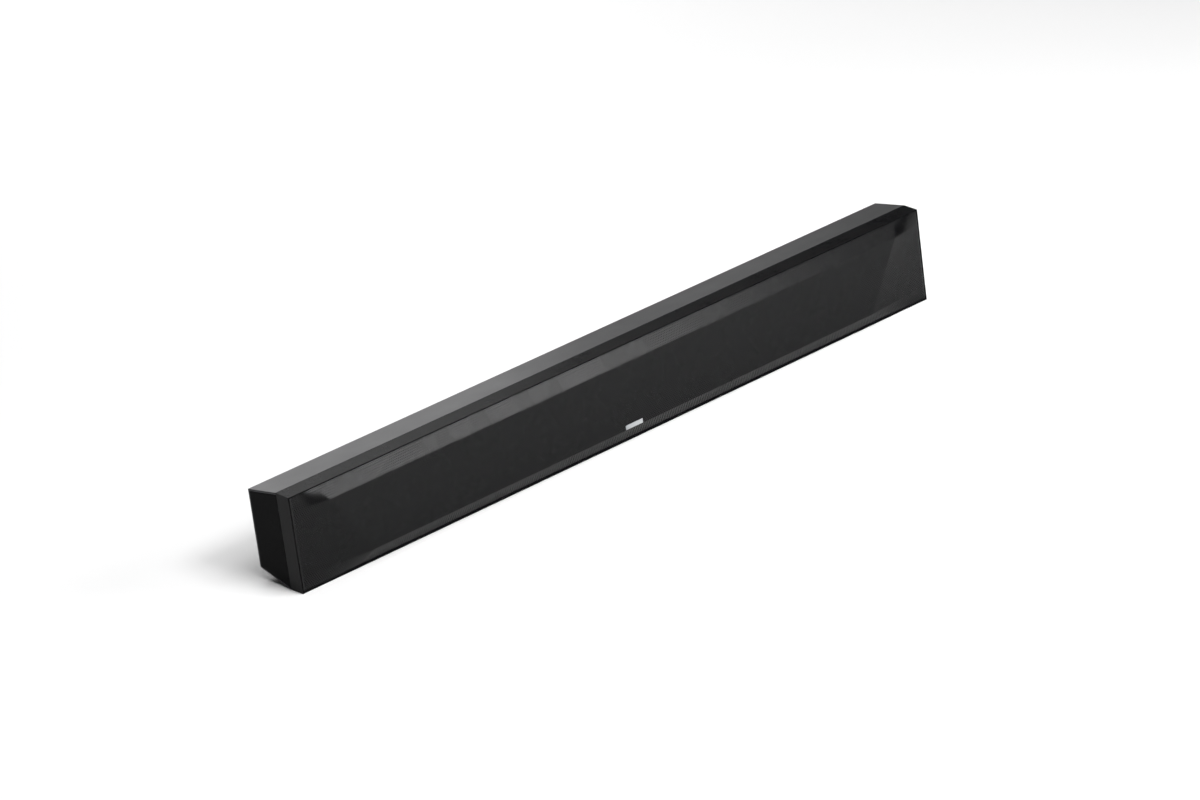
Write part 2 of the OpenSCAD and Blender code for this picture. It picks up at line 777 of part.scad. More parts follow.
// A box centred on a socket, from y0 to y1.
module socket_box(x, w, h, y0, y1) {
    block([x - w / 2, y0, rear_mid_z - h / 2], [x + w / 2, y1, rear_mid_z + h / 2]);
}

module socket_cut(x, w, h) {
    socket_box(x, w + 2 * fit_gap, h + 2 * fit_gap, y_floor_in - 1, y_floor_out + 1);
}

module mains_inlet() {
    lobe_r = 4.4;
    pin_r = 1.2;
    mouth = y_floor_out - mains_depth;
    color("#101011")
    difference() {
        socket_box(mains_x, mains_w, mains_h, y_io, y_floor_out);
        for (s = [-1, 1])
            rod_y(mains_x + s * mains_pitch / 2, rear_mid_z, lobe_r, mouth, y_floor_out + 1);
        socket_box(mains_x, mains_pitch, 2 * lobe_r - 1, mouth, y_floor_out + 1);
    }
    color("#c9c9c4")
    for (s = [-1, 1])
        rod_y(mains_x + s * mains_pitch / 2, rear_mid_z, pin_r, mouth - 1, y_floor_out - 3);
}

module ethernet_socket() {
    color("#9a9c9e")
    difference() {
        socket_box(ethernet_x, ethernet_w, ethernet_h, y_io, y_floor_out);
        socket_box(ethernet_x, 11.8, 8, y_floor_out - 12, y_floor_out + 1);
        translate([0, 0, -4.6]) socket_box(ethernet_x, 5, 2, y_floor_out - 12, y_floor_out + 1);
    }
}

module hdmi_sockets() {
    color("#a9abad")
    for (x = hdmi_x) {
        difference() {
            socket_box(x, hdmi_w, hdmi_h, y_io, y_floor_out);
            socket_box(x, 14, 4.8, y_floor_out - 11, y_floor_out + 1);
        }
        socket_box(x, 12, 1.8, y_floor_out - 11 - tiny, y_floor_out - 1.5);
    }
}

module optical_socket() {
    color("#141416") {
        difference() {
            socket_box(optical_x, optical_w, optical_w, y_io, y_floor_out);
            socket_box(optical_x, 8, 7, y_floor_out - 7, y_floor_out + 1);
        }
        rod_y(optical_x, rear_mid_z, 1.2, y_floor_out - 7 - tiny, y_floor_out - 5.5);
    }
}

module usb_socket() {
    color("#a9abad") {
        difference() {
            socket_box(usb_x, usb_w, usb_h, y_io, y_floor_out);
            socket_box(usb_x, 12.5, 5.2, y_floor_out - 12, y_floor_out + 1);
        }
        translate([0, 0, 1.3]) socket_box(usb_x, 11, 1.9, y_floor_out - 12 - tiny, y_floor_out - 1.5);
    }
}

switch_h = 3.5;
plunger_h = 1;
plunger_gap = button_travel + 0.4;

module rear_button(n, tint) {
    x = button_x[n];
    flange_y = y_floor_in - 0.3;
    color(tint) {
        rod_y(x, rear_mid_z, button_r, flange_y - button_flange_t, y_floor_out + button_out);
        rod_y(x, rear_mid_z, button_r + 1, flange_y - button_flange_t, flange_y);
        rod_y(x, rear_mid_z, 1.5, y_io + switch_h + plunger_h + plunger_gap, flange_y);
    }
}

// ---- Front lights, wall inserts and feet ----

module light_guide() {
    color("#e6ecef") {
        rod_y(-guide_x, driver_z, guide_r, y_baffle - 3, y_board);
        rod_y(-guide_x, driver_z, guide_r + 1.5, y_baffle_back, y_baffle_back + 1.5);
    }
}

module infrared_window() {
    half_w = window_w / 2;
    half_h = window_h / 2;
    color("#2a0f14") {
        block([guide_x - half_w, y_baffle - 1.5, driver_z - half_h],
              [guide_x + half_w, y_baffle_back, driver_z + half_h]);
        block([guide_x - half_w - 1.5, y_baffle_back, driver_z - half_h - 1.5],
              [guide_x + half_w + 1.5, y_baffle_back + 1.5, driver_z + half_h + 1.5]);
    }
}

module wall_inserts() {
    color("#b8944a")
    for (s = [-1, 1]) difference() {
        rod_y(s * insert_spacing / 2, rear_mid_z, insert_out_r, y_rear - insert_len, y_rear);
        rod_y(s * insert_spacing / 2, rear_mid_z, insert_r, y_rear - insert_len - 1, y_rear + 1);
    }
}

module rear_feet() {
    color("#0e0e0f")
    for (s = [-1, 1]) intersection() {
        translate([s * foot_x, foot_y, 0]) cylinder(r = foot_r, h = rear_bottom_rise);
        along_x(s * foot_x - foot_r - 1, s * foot_x + foot_r + 1)
            polygon([[y_seam, 0], [y_rear, 0], [y_rear, under_z(y_rear)]]);
    }
}

rear_housing();
end_cap(-1);  // left_end_cap
end_cap(1);  // right_end_cap
front_frame();
grille_panel();
grille_scrim();
grille_carrier();
badge_plate();
baffle();
baffle_gasket();
for (i = WOOFERS) {
    woofer_basket(i);
    woofer_motor(i);
    woofer_cone(i);
    woofer_surround(i);
    woofer_spider(i);
}
for (i = TWEETERS) {
    tweeter_body(i);
    tweeter_dome(i);
    tweeter_surround(i);
}
front_screws();
housing_screws();
divider(-1);  // left_divider
divider(1);  // right_divider
wadding(-1);  // left_wadding
wadding(1);  // right_wadding
speaker_wiring();
power_supply();
amplifier_board();
heat_sink();
board_standoffs();
connector_board();
connector_bay();
mains_inlet();
ethernet_socket();
hdmi_sockets();
optical_socket();
usb_socket();
rear_button(0, "#d0d2d4");  // setup_button
rear_button(1, "#a03030");  // reset_button
light_guide();
infrared_window();
wall_inserts();
rear_feet();
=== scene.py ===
"""Soundbar finish: builds the looks of a faceted soundbar round its fixed CAD frame.

Lengths are metres unless a name says otherwise. X runs along the bar, -Y is the front, Z is up.
"""
import json
import math

import bmesh
import bpy
import numpy as np
from mathutils import Matrix, Vector

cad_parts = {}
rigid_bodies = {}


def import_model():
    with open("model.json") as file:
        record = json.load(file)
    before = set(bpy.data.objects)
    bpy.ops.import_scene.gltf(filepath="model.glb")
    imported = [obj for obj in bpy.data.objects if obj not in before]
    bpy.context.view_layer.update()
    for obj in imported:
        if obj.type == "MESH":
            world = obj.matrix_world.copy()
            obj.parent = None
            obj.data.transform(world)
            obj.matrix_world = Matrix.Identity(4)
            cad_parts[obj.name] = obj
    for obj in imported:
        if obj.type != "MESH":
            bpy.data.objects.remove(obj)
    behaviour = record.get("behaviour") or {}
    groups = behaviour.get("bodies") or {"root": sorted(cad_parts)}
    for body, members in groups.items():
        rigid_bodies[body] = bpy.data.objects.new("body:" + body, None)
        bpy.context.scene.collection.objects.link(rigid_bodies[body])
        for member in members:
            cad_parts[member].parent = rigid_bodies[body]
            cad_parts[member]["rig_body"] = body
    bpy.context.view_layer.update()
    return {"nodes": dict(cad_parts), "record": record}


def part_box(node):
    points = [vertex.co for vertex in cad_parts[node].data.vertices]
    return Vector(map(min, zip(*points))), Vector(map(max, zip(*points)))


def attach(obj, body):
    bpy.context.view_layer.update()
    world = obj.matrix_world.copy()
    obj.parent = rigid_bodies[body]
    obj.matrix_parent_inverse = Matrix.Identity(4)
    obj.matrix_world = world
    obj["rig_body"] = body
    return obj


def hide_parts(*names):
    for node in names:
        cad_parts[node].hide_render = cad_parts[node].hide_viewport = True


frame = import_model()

bl_info = {
    "name": "Soundbar Finish",
    "version": (1, 0, 0),
    "blender": (4, 5, 0),
    "location": "View3D > Sidebar > Soundbar",
    "description": "Perforated grille, eased housings, drivers and studio for a soundbar",
    "category": "Object",
}

MM = 0.001

# Outline and facets of the grille. CORNER_X is the flat middle's half width at the two outlines and the two
# creases, from low to high. The outline stands 0.4 mm inside the CAD one, so that the shadow gap shows.
GRILLE_X = 0.4981
GRILLE_LOW = 0.0029
GRILLE_HIGH = 0.1181
CREASE_LOW = 0.0185
CREASE_HIGH = 0.1015
CORNER_X = (0.420, 0.399, 0.450, 0.4605)
Y_BORDER = -0.0321
GRILLE_PROUD = 0.0095
SHEET = 0.001
SCRIM = 0.4 * MM
SCRIM_GAP = 0.00002
SCRIM_INSET = 0.0008
TURNED_EDGE = 0.0006
FLANGE_DEPTH = 0.005

# Drivers: the baffle's front face and their centres.
Y_BAFFLE = -0.0246
DRIVER_Z = 0.060
WOOFER_X = {1: -0.320, 2: -0.212, 3: 0.212, 4: 0.320}
TWEETER_X = {1: -0.408, 2: 0.408}

# Radii, and depths behind the baffle's front face, that the drivers' pieces meet at, in mm. An edge and a neck
# are (radius, depth), COIL is its inner and outer radius, and SPIDER is its inner edge, the radius where its
# waves end and its outer edge.
CONE_EDGE = (28.2, -0.55)
CONE_NECK = (14.0, 12.7)
LIP_R = 29.8
COIL = (12.6, 13.2)
COIL_DEPTH = (12.9, 31.0)
BASKET_MOUTH = 33.6
RIM_R = 36.8
SPIDER = (13.25, 21.0, 24.5)
SPIDER_DEPTH = 15.5
DOME_R = 12.7
DOME_MOUTH = 14.2

# The wall inserts' places: how far to each side, and how high.
INSERT_X = 0.3
INSERT_Z = 0.0638

# Front and back faces of both circuit boards in Y, in mm, and the back one's depth behind the baffle's front.
BOARD_FRONT = -12.6
BOARD_BACK = -11.0
BOARD_BASE = BOARD_BACK - Y_BAFFLE / MM

# Points closer than this are merged.
WELD = 0.002 * MM


# ---- Colours and nodes ----

def paint(hex_colour):
    """Turns an sRGB hex colour to linear RGB.

    Each channel c becomes c / 12.92 when it is small, or else ((c + 0.055) / 1.055) ^ 2.4.
    """
    channels = [int(hex_colour[i:i + 2], 16) / 255 for i in (1, 3, 5)]
    return tuple(c / 12.92 if c <= 0.04045 else ((c + 0.055) / 1.055) ** 2.4 for c in channels)


def add(tree, kind, settings=None, links=None):
    """Adds one node, with its settings (properties or sockets) and its incoming links."""
    node = tree.nodes.new(kind)
    for key, value in (settings or {}).items():
        if isinstance(key, str) and hasattr(node, key):
            setattr(node, key, value)
        else:
            node.inputs[key].default_value = value
    for key, source in (links or {}).items():
        tree.links.new(source, node.inputs[key])
    return node


def rgba(colour):
    """A linear colour with full alpha. A hex string is turned to linear first."""
    colour = paint(colour) if isinstance(colour, str) else tuple(colour)
    return (*colour[:3], 1.0)


def begin(name, **shader):
    """Starts a material and returns it, its tree, its shader and the Object coordinates in millimetres."""
    material = bpy.data.materials.new(name)
    material.use_nodes = True
    tree = material.node_tree
    tree.nodes.clear()
    sockets = {key.replace("_", " "): value for key, value in shader.items()}
    bsdf = add(tree, "ShaderNodeBsdfPrincipled", sockets)
    add(tree, "ShaderNodeOutputMaterial", links={"Surface": bsdf.outputs[0]})
    place = add(tree, "ShaderNodeTexCoord")
    in_mm = add(tree, "ShaderNodeMapping", {"Scale": (1 / MM,) * 3}, {"Vector": place.outputs["Object"]})
    return material, tree, bsdf, in_mm.outputs[0]


def worked(name, light, dark, grain, relief, roughness, swing=0.05, stretch=(1, 1, 1), detail=3, **shader):
    """A finish whose colour, roughness and relief follow one grain, with a slow change over 40 mm.

    grain is its size and relief its depth in millimetres. stretch draws the grain out along an axis.
    swing is how far the roughness strays to either side.
    """
    patch, least, most = 40, 0.5, 1.1
    material, tree, bsdf, at = begin(name, **shader)
    drawn = add(tree, "ShaderNodeMapping", {"Scale": tuple(1 / (grain * s) for s in stretch)},
                {"Vector": at})
    fine = add(tree, "ShaderNodeTexNoise", {"Scale": 1.0, "Detail": detail, "Roughness": 0.6},
               {"Vector": drawn.outputs[0]}).outputs[0]
    slow = add(tree, "ShaderNodeTexNoise", {"Scale": 1 / patch, "Detail": 2.0}, {"Vector": at}).outputs[0]
    both = add(tree, "ShaderNodeMath", {"operation": "MULTIPLY_ADD", 1: 0.6}, {0: fine, 2: slow}).outputs[0]
    share = add(tree, "ShaderNodeMapRange", {"From Min": least, "From Max": most},
                {"Value": both}).outputs[0]
    colour = add(tree, "ShaderNodeMix", {"data_type": "RGBA", 6: rgba(dark), 7: rgba(light)}, {0: share})
    tree.links.new(colour.outputs[2], bsdf.inputs["Base Color"])
    rough = add(tree, "ShaderNodeMapRange", {"From Min": least, "From Max": most, "To Min": roughness + swing,
                                             "To Max": roughness - swing}, {"Value": both})
    tree.links.new(rough.outputs[0], bsdf.inputs["Roughness"])
    bump = add(tree, "ShaderNodeBump", {"Strength": 1.0, "Distance": relief * MM}, {"Height": fine})
    tree.links.new(bump.outputs[0], bsdf.inputs["Normal"])
    return material


def woven(name, light, dark, thread, relief, roughness):
    """A plain weave in X and Z: warp and weft are |sin| ridges that pass over each other in turn.

    thread is the distance between threads and relief their depth, in millimetres.
    """
    material, tree, bsdf, at = begin(name, Roughness=roughness)
    split = add(tree, "ShaderNodeSeparateXYZ", links={0: at})
    ridges = []
    for axis in (0, 2):
        turn = add(tree, "ShaderNodeMath", {"operation": "MULTIPLY", 1: math.pi / thread},
                   {0: split.outputs[axis]}).outputs[0]
        wave = add(tree, "ShaderNodeMath", {"operation": "SINE"}, {0: turn}).outputs[0]
        high = add(tree, "ShaderNodeMath", {"operation": "ABSOLUTE"}, {0: wave}).outputs[0]
        ridges.append((wave, high))
    over = add(tree, "ShaderNodeMath", {"operation": "MULTIPLY"},
               {0: ridges[0][0], 1: ridges[1][0]}).outputs[0]
    top = add(tree, "ShaderNodeMath", {"operation": "GREATER_THAN", 1: 0.0}, {0: over}).outputs[0]
    height = add(tree, "ShaderNodeMix", {"data_type": "FLOAT"},
                 {0: top, 2: ridges[0][1], 3: ridges[1][1]}).outputs[0]
    fuzz = add(tree, "ShaderNodeTexNoise", {"Scale": 2.2 / thread, "Detail": 3.0},
               {"Vector": at}).outputs[0]
    # The colour follows the threads' height times a random fuzz. It is lighter on the crowns and darker in the
    # hollows between the threads, which is painted shade. The fuzz adds random tone.
    shade = add(tree, "ShaderNodeMath", {"operation": "MULTIPLY"}, {0: height, 1: fuzz}).outputs[0]
    share = add(tree, "ShaderNodeMapRange", {"From Max": 0.55}, {"Value": shade}).outputs[0]
    colour = add(tree, "ShaderNodeMix", {"data_type": "RGBA", 6: rgba(dark), 7: rgba(light)}, {0: share})
    tree.links.new(colour.outputs[2], bsdf.inputs["Base Color"])
    bump = add(tree, "ShaderNodeBump", {"Strength": 1.0, "Distance": relief * MM}, {"Height": shade})
    tree.links.new(bump.outputs[0], bsdf.inputs["Normal"])
    return material


def printed_board(name):
    """Glossy solder mask over glass fibre, with copper tracks that show through it and stand up slightly.

    The tracks are the upright joints of a brick pattern, about 4.5 mm apart.
    """
    material, tree, bsdf, at = begin(name, Roughness=0.3, Coat_Weight=0.4, Coat_Roughness=0.12)
    flat = add(tree, "ShaderNodeVectorMath", {"operation": "MULTIPLY", 1: (1, 0, 1)}, {0: at}).outputs[0]
    tracks = add(tree, "ShaderNodeTexBrick", {"Scale": 0.11, "Color1": rgba("#0d3a20"),
                                              "Color2": rgba("#10472a"), "Mortar": rgba("#1c6a3c"),
                                              "Mortar Size": 0.012, "offset": 0.37}, {"Vector": flat})
    grime = add(tree, "ShaderNodeTexNoise", {"Scale": 0.4, "Detail": 4.0}, {"Vector": at}).outputs[0]
    mask = add(tree, "ShaderNodeMix", {"data_type": "RGBA", "blend_type": "MULTIPLY", 0: 0.5},
               {6: tracks.outputs[0], 7: grime})
    tree.links.new(mask.outputs[2], bsdf.inputs["Base Color"])
    bump = add(tree, "ShaderNodeBump", {"Strength": 0.6, "Distance": 0.05 * MM},
               {"Height": tracks.outputs[1]})
    tree.links.new(bump.outputs[0], bsdf.inputs["Normal"])
    return material


def finishes(look):
    """Every finish of the soundbar by its slot, each named for the real material and how it was made."""
    return {
        # Extruded, blasted and anodised: faint lines along the extrusion, dark satin metal.
        "housing_black": worked("anodised aluminium, extruded", look.housing, "#2a2a2c", 0.35, 0.006, 0.36,
                                swing=0.015, stretch=(60, 1, 1), Metallic=1.0),
        # Moulded in a spark-eroded tool: a fine even grain, satin.
        "moulded_black": worked("ABS, moulded with a fine grain", look.moulding, "#040405", 0.5, 0.02, 0.3,
                                Specular_IOR_Level=0.075),
        # Powder coat on steel: slight orange peel, drawn at 0.6 mm so that it shows.
        "grille_black": worked("powder-coated steel, perforated", look.grille, "#050506", 0.6, 0.008, 0.27,
                               Specular_IOR_Level=0.25),
        # Open acoustic cloth: threads 0.7 mm apart, coarser than the real 0.3 mm so that they show.
        "scrim_cloth": woven("acoustic cloth, woven", "#0b0b0c", "#020202", 0.7, 0.1, 0.95),
        # Brushed along its length: streaks 0.12 mm apart.
        "badge_metal": worked("aluminium, brushed", look.badge, "#8e9194", 0.12, 0.004, 0.3,
                              stretch=(40, 1, 1), Metallic=1.0),
        # Pressed wood fibre: short pale and dark fibres.
        "fibreboard": worked("fibreboard, pressed", "#7b6248", "#4a3826", 0.6, 0.05, 0.85,
                             stretch=(3, 1, 1)),
        # Closed-cell foam: a fine pitted black that takes no shine.
        "foam_rubber": worked("foam rubber, closed cell", "#26262a", "#0c0c0d", 0.5, 0.12, 0.9),
        # Painted pressed steel: smooth mid grey with a soft shine.
        "driver_frame": worked("steel, pressed and painted", "#4e5054", "#3a3c40", 1.4, 0.01, 0.38),
        # Ferrite between plated plates: dark, faintly crystalline metal.
        "magnet_steel": worked("ferrite and plated steel", "#55565b", "#2a2a2e", 0.8, 0.02, 0.45,
                               Metallic=0.8),
        # Pulp felted on a mould: cloudy fibres under a thin dope.
        "cone_paper": worked("paper pulp, felted and doped", "#2a2b2e", "#111113", 0.9, 0.06, 0.6,
                             detail=6),
        # Moulded butyl rubber: smooth and dull black.
        "surround_rubber": worked("butyl rubber, moulded", "#161617", "#09090a", 0.4, 0.008, 0.5),
        # Resin-soaked cotton: an amber weave, threads 0.6 mm apart.
        "spider_cloth": woven("cotton, resin treated and pressed", "#b98645", "#5c3a16", 0.6, 0.08, 0.8),
        # Coated silk: a fine weave under a satin coat, threads 0.35 mm apart.
        "dome_silk": woven("silk, coated and formed", "#4b4d52", "#202124", 0.35, 0.02, 0.5),
        # Black zinc: dark shiny steel.
        "screw_steel": worked("steel, black zinc plated", "#5b5c60", "#303134", 0.3, 0.004, 0.35,
                              Metallic=1.0),
        # Carded fibre: white strands along the bar, with a soft sheen.
        "wadding_fibre": worked("polyester fibre, carded", "#e6e3da", "#b4afa2", 0.5, 0.5, 0.95,
                                stretch=(7, 1, 1), detail=6, Sheen_Weight=0.5),
        # Drawn PVC: smooth red with a soft shine.
        "wire_sheath": worked("PVC sheath, drawn", "#8e2020", "#5f1212", 0.6, 0.006, 0.42),
        # Green solder mask: glossy, with lighter tracks.
        "circuit_board": printed_board("solder mask on glass fibre, printed"),
        # Bare extruded aluminium: pale metal with lines down the fins.
        "heat_sink_metal": worked("aluminium, extruded", "#c4c7ca", "#94979b", 0.3, 0.01, 0.32,
                                  stretch=(1, 1, 40), Metallic=1.0),
        # Turned brass: bright and yellow.
        "standoff_brass": worked("brass, turned", "#d9b566", "#a07a34", 0.2, 0.004, 0.26, Metallic=1.0),
        # Nickel plate: bright and slightly warm.
        "socket_metal": worked("steel, nickel plated", "#c3c5c7", "#8b8d90", 0.5, 0.004, 0.28,
                               Metallic=1.0),
        # Moulded nylon: dull black.
        "socket_black": worked("nylon, moulded", "#1c1c1e", "#0c0c0d", 0.4, 0.015, 0.5),
        # Moulded polycarbonate: an even colour and a soft shine.
        "button_grey": worked("polycarbonate, moulded grey", "#b8babc", "#96989a", 0.4, 0.008, 0.42),
        "button_red": worked("polycarbonate, moulded red", "#a02626", "#741616", 0.4, 0.008, 0.42),
        # Clear acrylic: light passes through it. The infrared one is nearly black with a red cast.
        "clear_acrylic": worked("acrylic, clear moulded", "#e8eef0", "#d6dfe2", 2.0, 0.002, 0.08,
                                swing=0.03, Transmission_Weight=1.0, IOR=1.49),
        "window_red": worked("acrylic, infrared passing", "#38080c", "#1c0406", 2.0, 0.002, 0.1,
                             swing=0.03),
        # Moulded rubber with a grain: matt black.
        "feet_rubber": worked("rubber, moulded feet", "#17171a", "#0a0a0b", 0.5, 0.03, 0.75),
    }


# ---- Meshes ----

def node_slot(node):
    """The record's material slot of a CAD node."""
    return next(p["material_slot"] for p in frame["record"]["subparts"] if p["node"] == node)


def build_mesh(name, vertices, polygons):
    """A mesh from an array of points and lists of index arrays, each with faces of one length."""
    mesh = bpy.data.meshes.new(name)
    loops = np.concatenate([p.ravel() for p in polygons]).astype(np.int32)
    sizes = np.concatenate([np.full(len(p), p.shape[1]) for p in polygons])
    starts = np.concatenate([[0], np.cumsum(sizes)[:-1]]).astype(np.int32)
    mesh.vertices.add(len(vertices))
    mesh.vertices.foreach_set("co", np.asarray(vertices, np.float32).ravel())
    mesh.loops.add(len(loops))
    mesh.loops.foreach_set("vertex_index", loops)
    mesh.polygons.add(len(starts))
    mesh.polygons.foreach_set("loop_start", starts)
    mesh.update(calc_edges=True)
    mesh.shade_flat()
    mesh.validate()
    return mesh


def place_piece(name, mesh, slot, body="root", replaced=(), smooth=None, finish=None):
    """Puts a mesh in the scene as a piece, with its finish, its body and the nodes that it replaces."""
    piece = bpy.data.objects.new(name, mesh)
    bpy.context.scene.collection.objects.link(piece)
    mesh.materials.clear()
    mesh.materials.append(finish or FINISHES[slot])
    if smooth is not None:
        mesh.shade_smooth()
        mesh.set_sharp_from_angle(angle=math.radians(smooth))
    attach(piece, body)
    if replaced:
        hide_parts(*replaced)
    return piece


def eased(node, width, name, segments=2, angle=30, finish=None):
    """A CAD node with every hard edge rounded, as a moulding, casting or cut part has it.

    The copy's doubles are merged and its flat faces made whole, then a Bevel of the width in millimetres
    rounds each edge over the angle.
    """
    source = frame["nodes"][node]
    mesh = source.data.copy()
    work = bmesh.new()
    work.from_mesh(mesh)
    bmesh.ops.remove_doubles(work, verts=work.verts, dist=WELD)
    bmesh.ops.dissolve_limit(work, angle_limit=math.radians(0.6), verts=work.verts, edges=work.edges)
    work.to_mesh(mesh)
    work.free()
    mesh.name = name
    piece = place_piece(name, mesh, node_slot(node), source["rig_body"], (node,), finish=finish)
    for polygon in mesh.polygons:
        polygon.use_smooth = True
    bevel = piece.modifiers.new("eased edges", "BEVEL")
    bevel.width = width * MM
    bevel.segments = segments
    bevel.limit_method = "ANGLE"
    bevel.angle_limit = math.radians(angle)
    bevel.use_clamp_overlap = False
    even = piece.modifiers.new("flat faces stay flat", "WEIGHTED_NORMAL")
    even.weight = 100
    return piece


def skin_depth(x, z):
    """The faceted skin's y: the border less how far it stands out.

    The height z gives the flat middle's half width and the share that it stands out by, each on straight
    lines between the four corner heights. From there the share falls in a straight line to 0 at the ends.
    """
    corners = (GRILLE_LOW, CREASE_LOW, CREASE_HIGH, GRILLE_HIGH)
    half = np.interp(z, corners, CORNER_X)
    share = np.interp(z, corners, (0, 1, 1, 0))
    fall = np.clip((np.abs(x) - half) / (GRILLE_X - half), 0, 1)
    return Y_BORDER - share * GRILLE_PROUD * (1 - fall)


def perforated_strip(low, high, rows, shifted, pitch, hole_radius):
    """A strip of perforated sheet with straight edges, closed all round, as (points, quads, triangles).

    Holes are hexagons on a triangular lattice: row j at an even height step, every other row moved half a
    pitch. Between two neighbours the web is one quad, between three it is one triangle, and the outermost
    corners are joined to the straight edge beside them. Each flat point (x, z) is then given the skin's
    depth at the front and one sheet thickness more at the back.
    """
    margin = 3 * MM
    columns = int((2 * GRILLE_X - margin) / pitch - 0.5) + 1
    start = -((columns - 1) * pitch + pitch / 2) / 2
    j, i, k = np.meshgrid(np.arange(rows), np.arange(columns), np.arange(6), indexing="ij")
    odd = (j + shifted) % 2
    angle = np.radians(90 - 60 * k)
    x = start + i * pitch + odd * pitch / 2 + hole_radius * np.cos(angle)
    z = low + (j + 0.5) * (high - low) / rows + hole_radius * np.sin(angle)
    ring = np.arange(rows * columns * 6).reshape(rows, columns, 6)
    top, up_right, low_right, bottom, low_left, up_left = range(6)

    def quads(*corners):
        """Stacks equal index arrays as faces."""
        return np.stack([c.ravel() for c in corners], axis=1)

    left, right = ring[:, :-1], ring[:, 1:]
    faces = [quads(left[..., low_right], right[..., low_left], right[..., up_left], left[..., up_right])]
    corners3 = []
    for j0 in (0, 1):
        here, above = ring[j0:rows - 1:2], ring[j0 + 1:rows:2]
        move = (j0 + shifted) % 2
        # The neighbour up to the right is one column on where this row is the moved one.
        a, b = (here, above) if move == 0 else (here[:, :-1], above[:, 1:])
        faces.append(quads(a[..., up_right], b[..., bottom], b[..., low_left], a[..., top]))
        a, c = (here[:, 1:], above[:, :-1]) if move == 0 else (here, above)
        faces.append(quads(a[..., top], c[..., low_right], c[..., bottom], a[..., up_left]))
        a, a1 = here[:, :-1], here[:, 1:]
        b = above[:, :-1] if move == 0 else above[:, 1:]
        corners3.append(quads(a[..., up_right], a1[..., up_left], b[..., bottom]))
        c, b = above[:, :-1], above[:, 1:]
        a = here[:, 1:] if move == 0 else here[:, :-1]
        corners3.append(quads(a[..., top], b[..., low_left], c[..., low_right]))

    def side_chain(column, outer_is_moved, low_corner, high_corner):
        """Corners up one side: two of a set-back row, four of a row that reaches out."""
        chain = []
        for row in range(rows):
            reaches = ((row + shifted) % 2 == 1) == outer_is_moved
            names = [low_corner, high_corner]
            if reaches:
                names = ([bottom] if row else []) + names + ([top] if row < rows - 1 else [])
            chain.extend(ring[row, column, n] for n in names)
        return np.array(chain)

    chains = {
        "bottom": ring[0][:, [low_left, bottom, low_right]].ravel(),
        "right": side_chain(-1, True, low_right, up_right),
        "top": ring[-1][:, [up_left, top, up_right]].ravel(),
        "left": side_chain(0, False, low_left, up_left),
    }
    flat = np.stack([x.ravel(), z.ravel()], axis=1)
    # Each edge's axis in the flat sheet, and its place along that axis.
    borders = {"bottom": (1, low), "right": (0, GRILLE_X), "top": (1, high), "left": (0, -GRILLE_X)}
    edges, points, count = {}, [flat], len(flat)
    for side, chain in chains.items():
        axis, place = borders[side]
        moved = flat[chain].copy()
        moved[:, axis] = place
        edges[side] = count + np.arange(len(chain))
        points.append(moved)
        count += len(chain)
    corner = {(sx, sz): count + n for n, (sx, sz) in enumerate(((0, 0), (1, 0), (1, 1), (0, 1)))}
    points.append(np.array([(-GRILLE_X, low), (GRILLE_X, low), (GRILLE_X, high), (-GRILLE_X, high)]))
    flat = np.concatenate(points)
    for side in ("bottom", "right", "top", "left"):
        c, e = chains[side], edges[side]
        if side in ("top", "left"):
            c, e = c[::-1], e[::-1]
        faces.append(quads(e[:-1], e[1:], c[1:], c[:-1]))
    b, r, t, l = (edges[s] for s in ("bottom", "right", "top", "left"))
    cb, cr, ct, cl = (chains[s] for s in ("bottom", "right", "top", "left"))
    faces.append(np.array([[corner[0, 0], b[0], cb[0], l[0]], [b[-1], corner[1, 0], r[0], cb[-1]],
                           [cr[-1], r[-1], corner[1, 1], t[-1]], [l[-1], cl[-1], t[0], corner[0, 1]]]))
    rim = np.concatenate([[corner[0, 0]], b, [corner[1, 0]], r, [corner[1, 1]], t[::-1],
                          [corner[0, 1]], l[::-1]])
    n = len(flat)
    following = np.roll(rim, -1)
    front4, front3 = np.concatenate(faces), np.concatenate(corners3)
    walls = quads(rim, rim + n, following + n, following)
    next_corner = np.roll(ring, -1, axis=2)
    bores = quads(ring, ring + n, next_corner + n, next_corner)
    depth = skin_depth(flat[:, 0], flat[:, 1])
    front = np.stack([flat[:, 0], depth, flat[:, 1]], axis=1)
    back = front + (0, SHEET, 0)
    all4 = np.concatenate([front4, front4[:, ::-1] + n, walls, bores])
    all3 = np.concatenate([front3, front3[:, ::-1] + n])
    return np.concatenate([front, back]), all4, all3


def grid_faces(rows, columns, wrap_rows=False, wrap_columns=False):
    """Index quads of a grid of points, joined round where a direction wraps."""
    r = np.arange(rows if wrap_rows else rows - 1)
    c = np.arange(columns if wrap_columns else columns - 1)
    r, c = np.meshgrid(r, c, indexing="ij")
    r1, c1 = (r + 1) % rows, (c + 1) % columns
    corners = (r * columns + c, r * columns + c1, r1 * columns + c1, r1 * columns + c)
    return np.stack(corners, axis=-1).reshape(-1, 4)


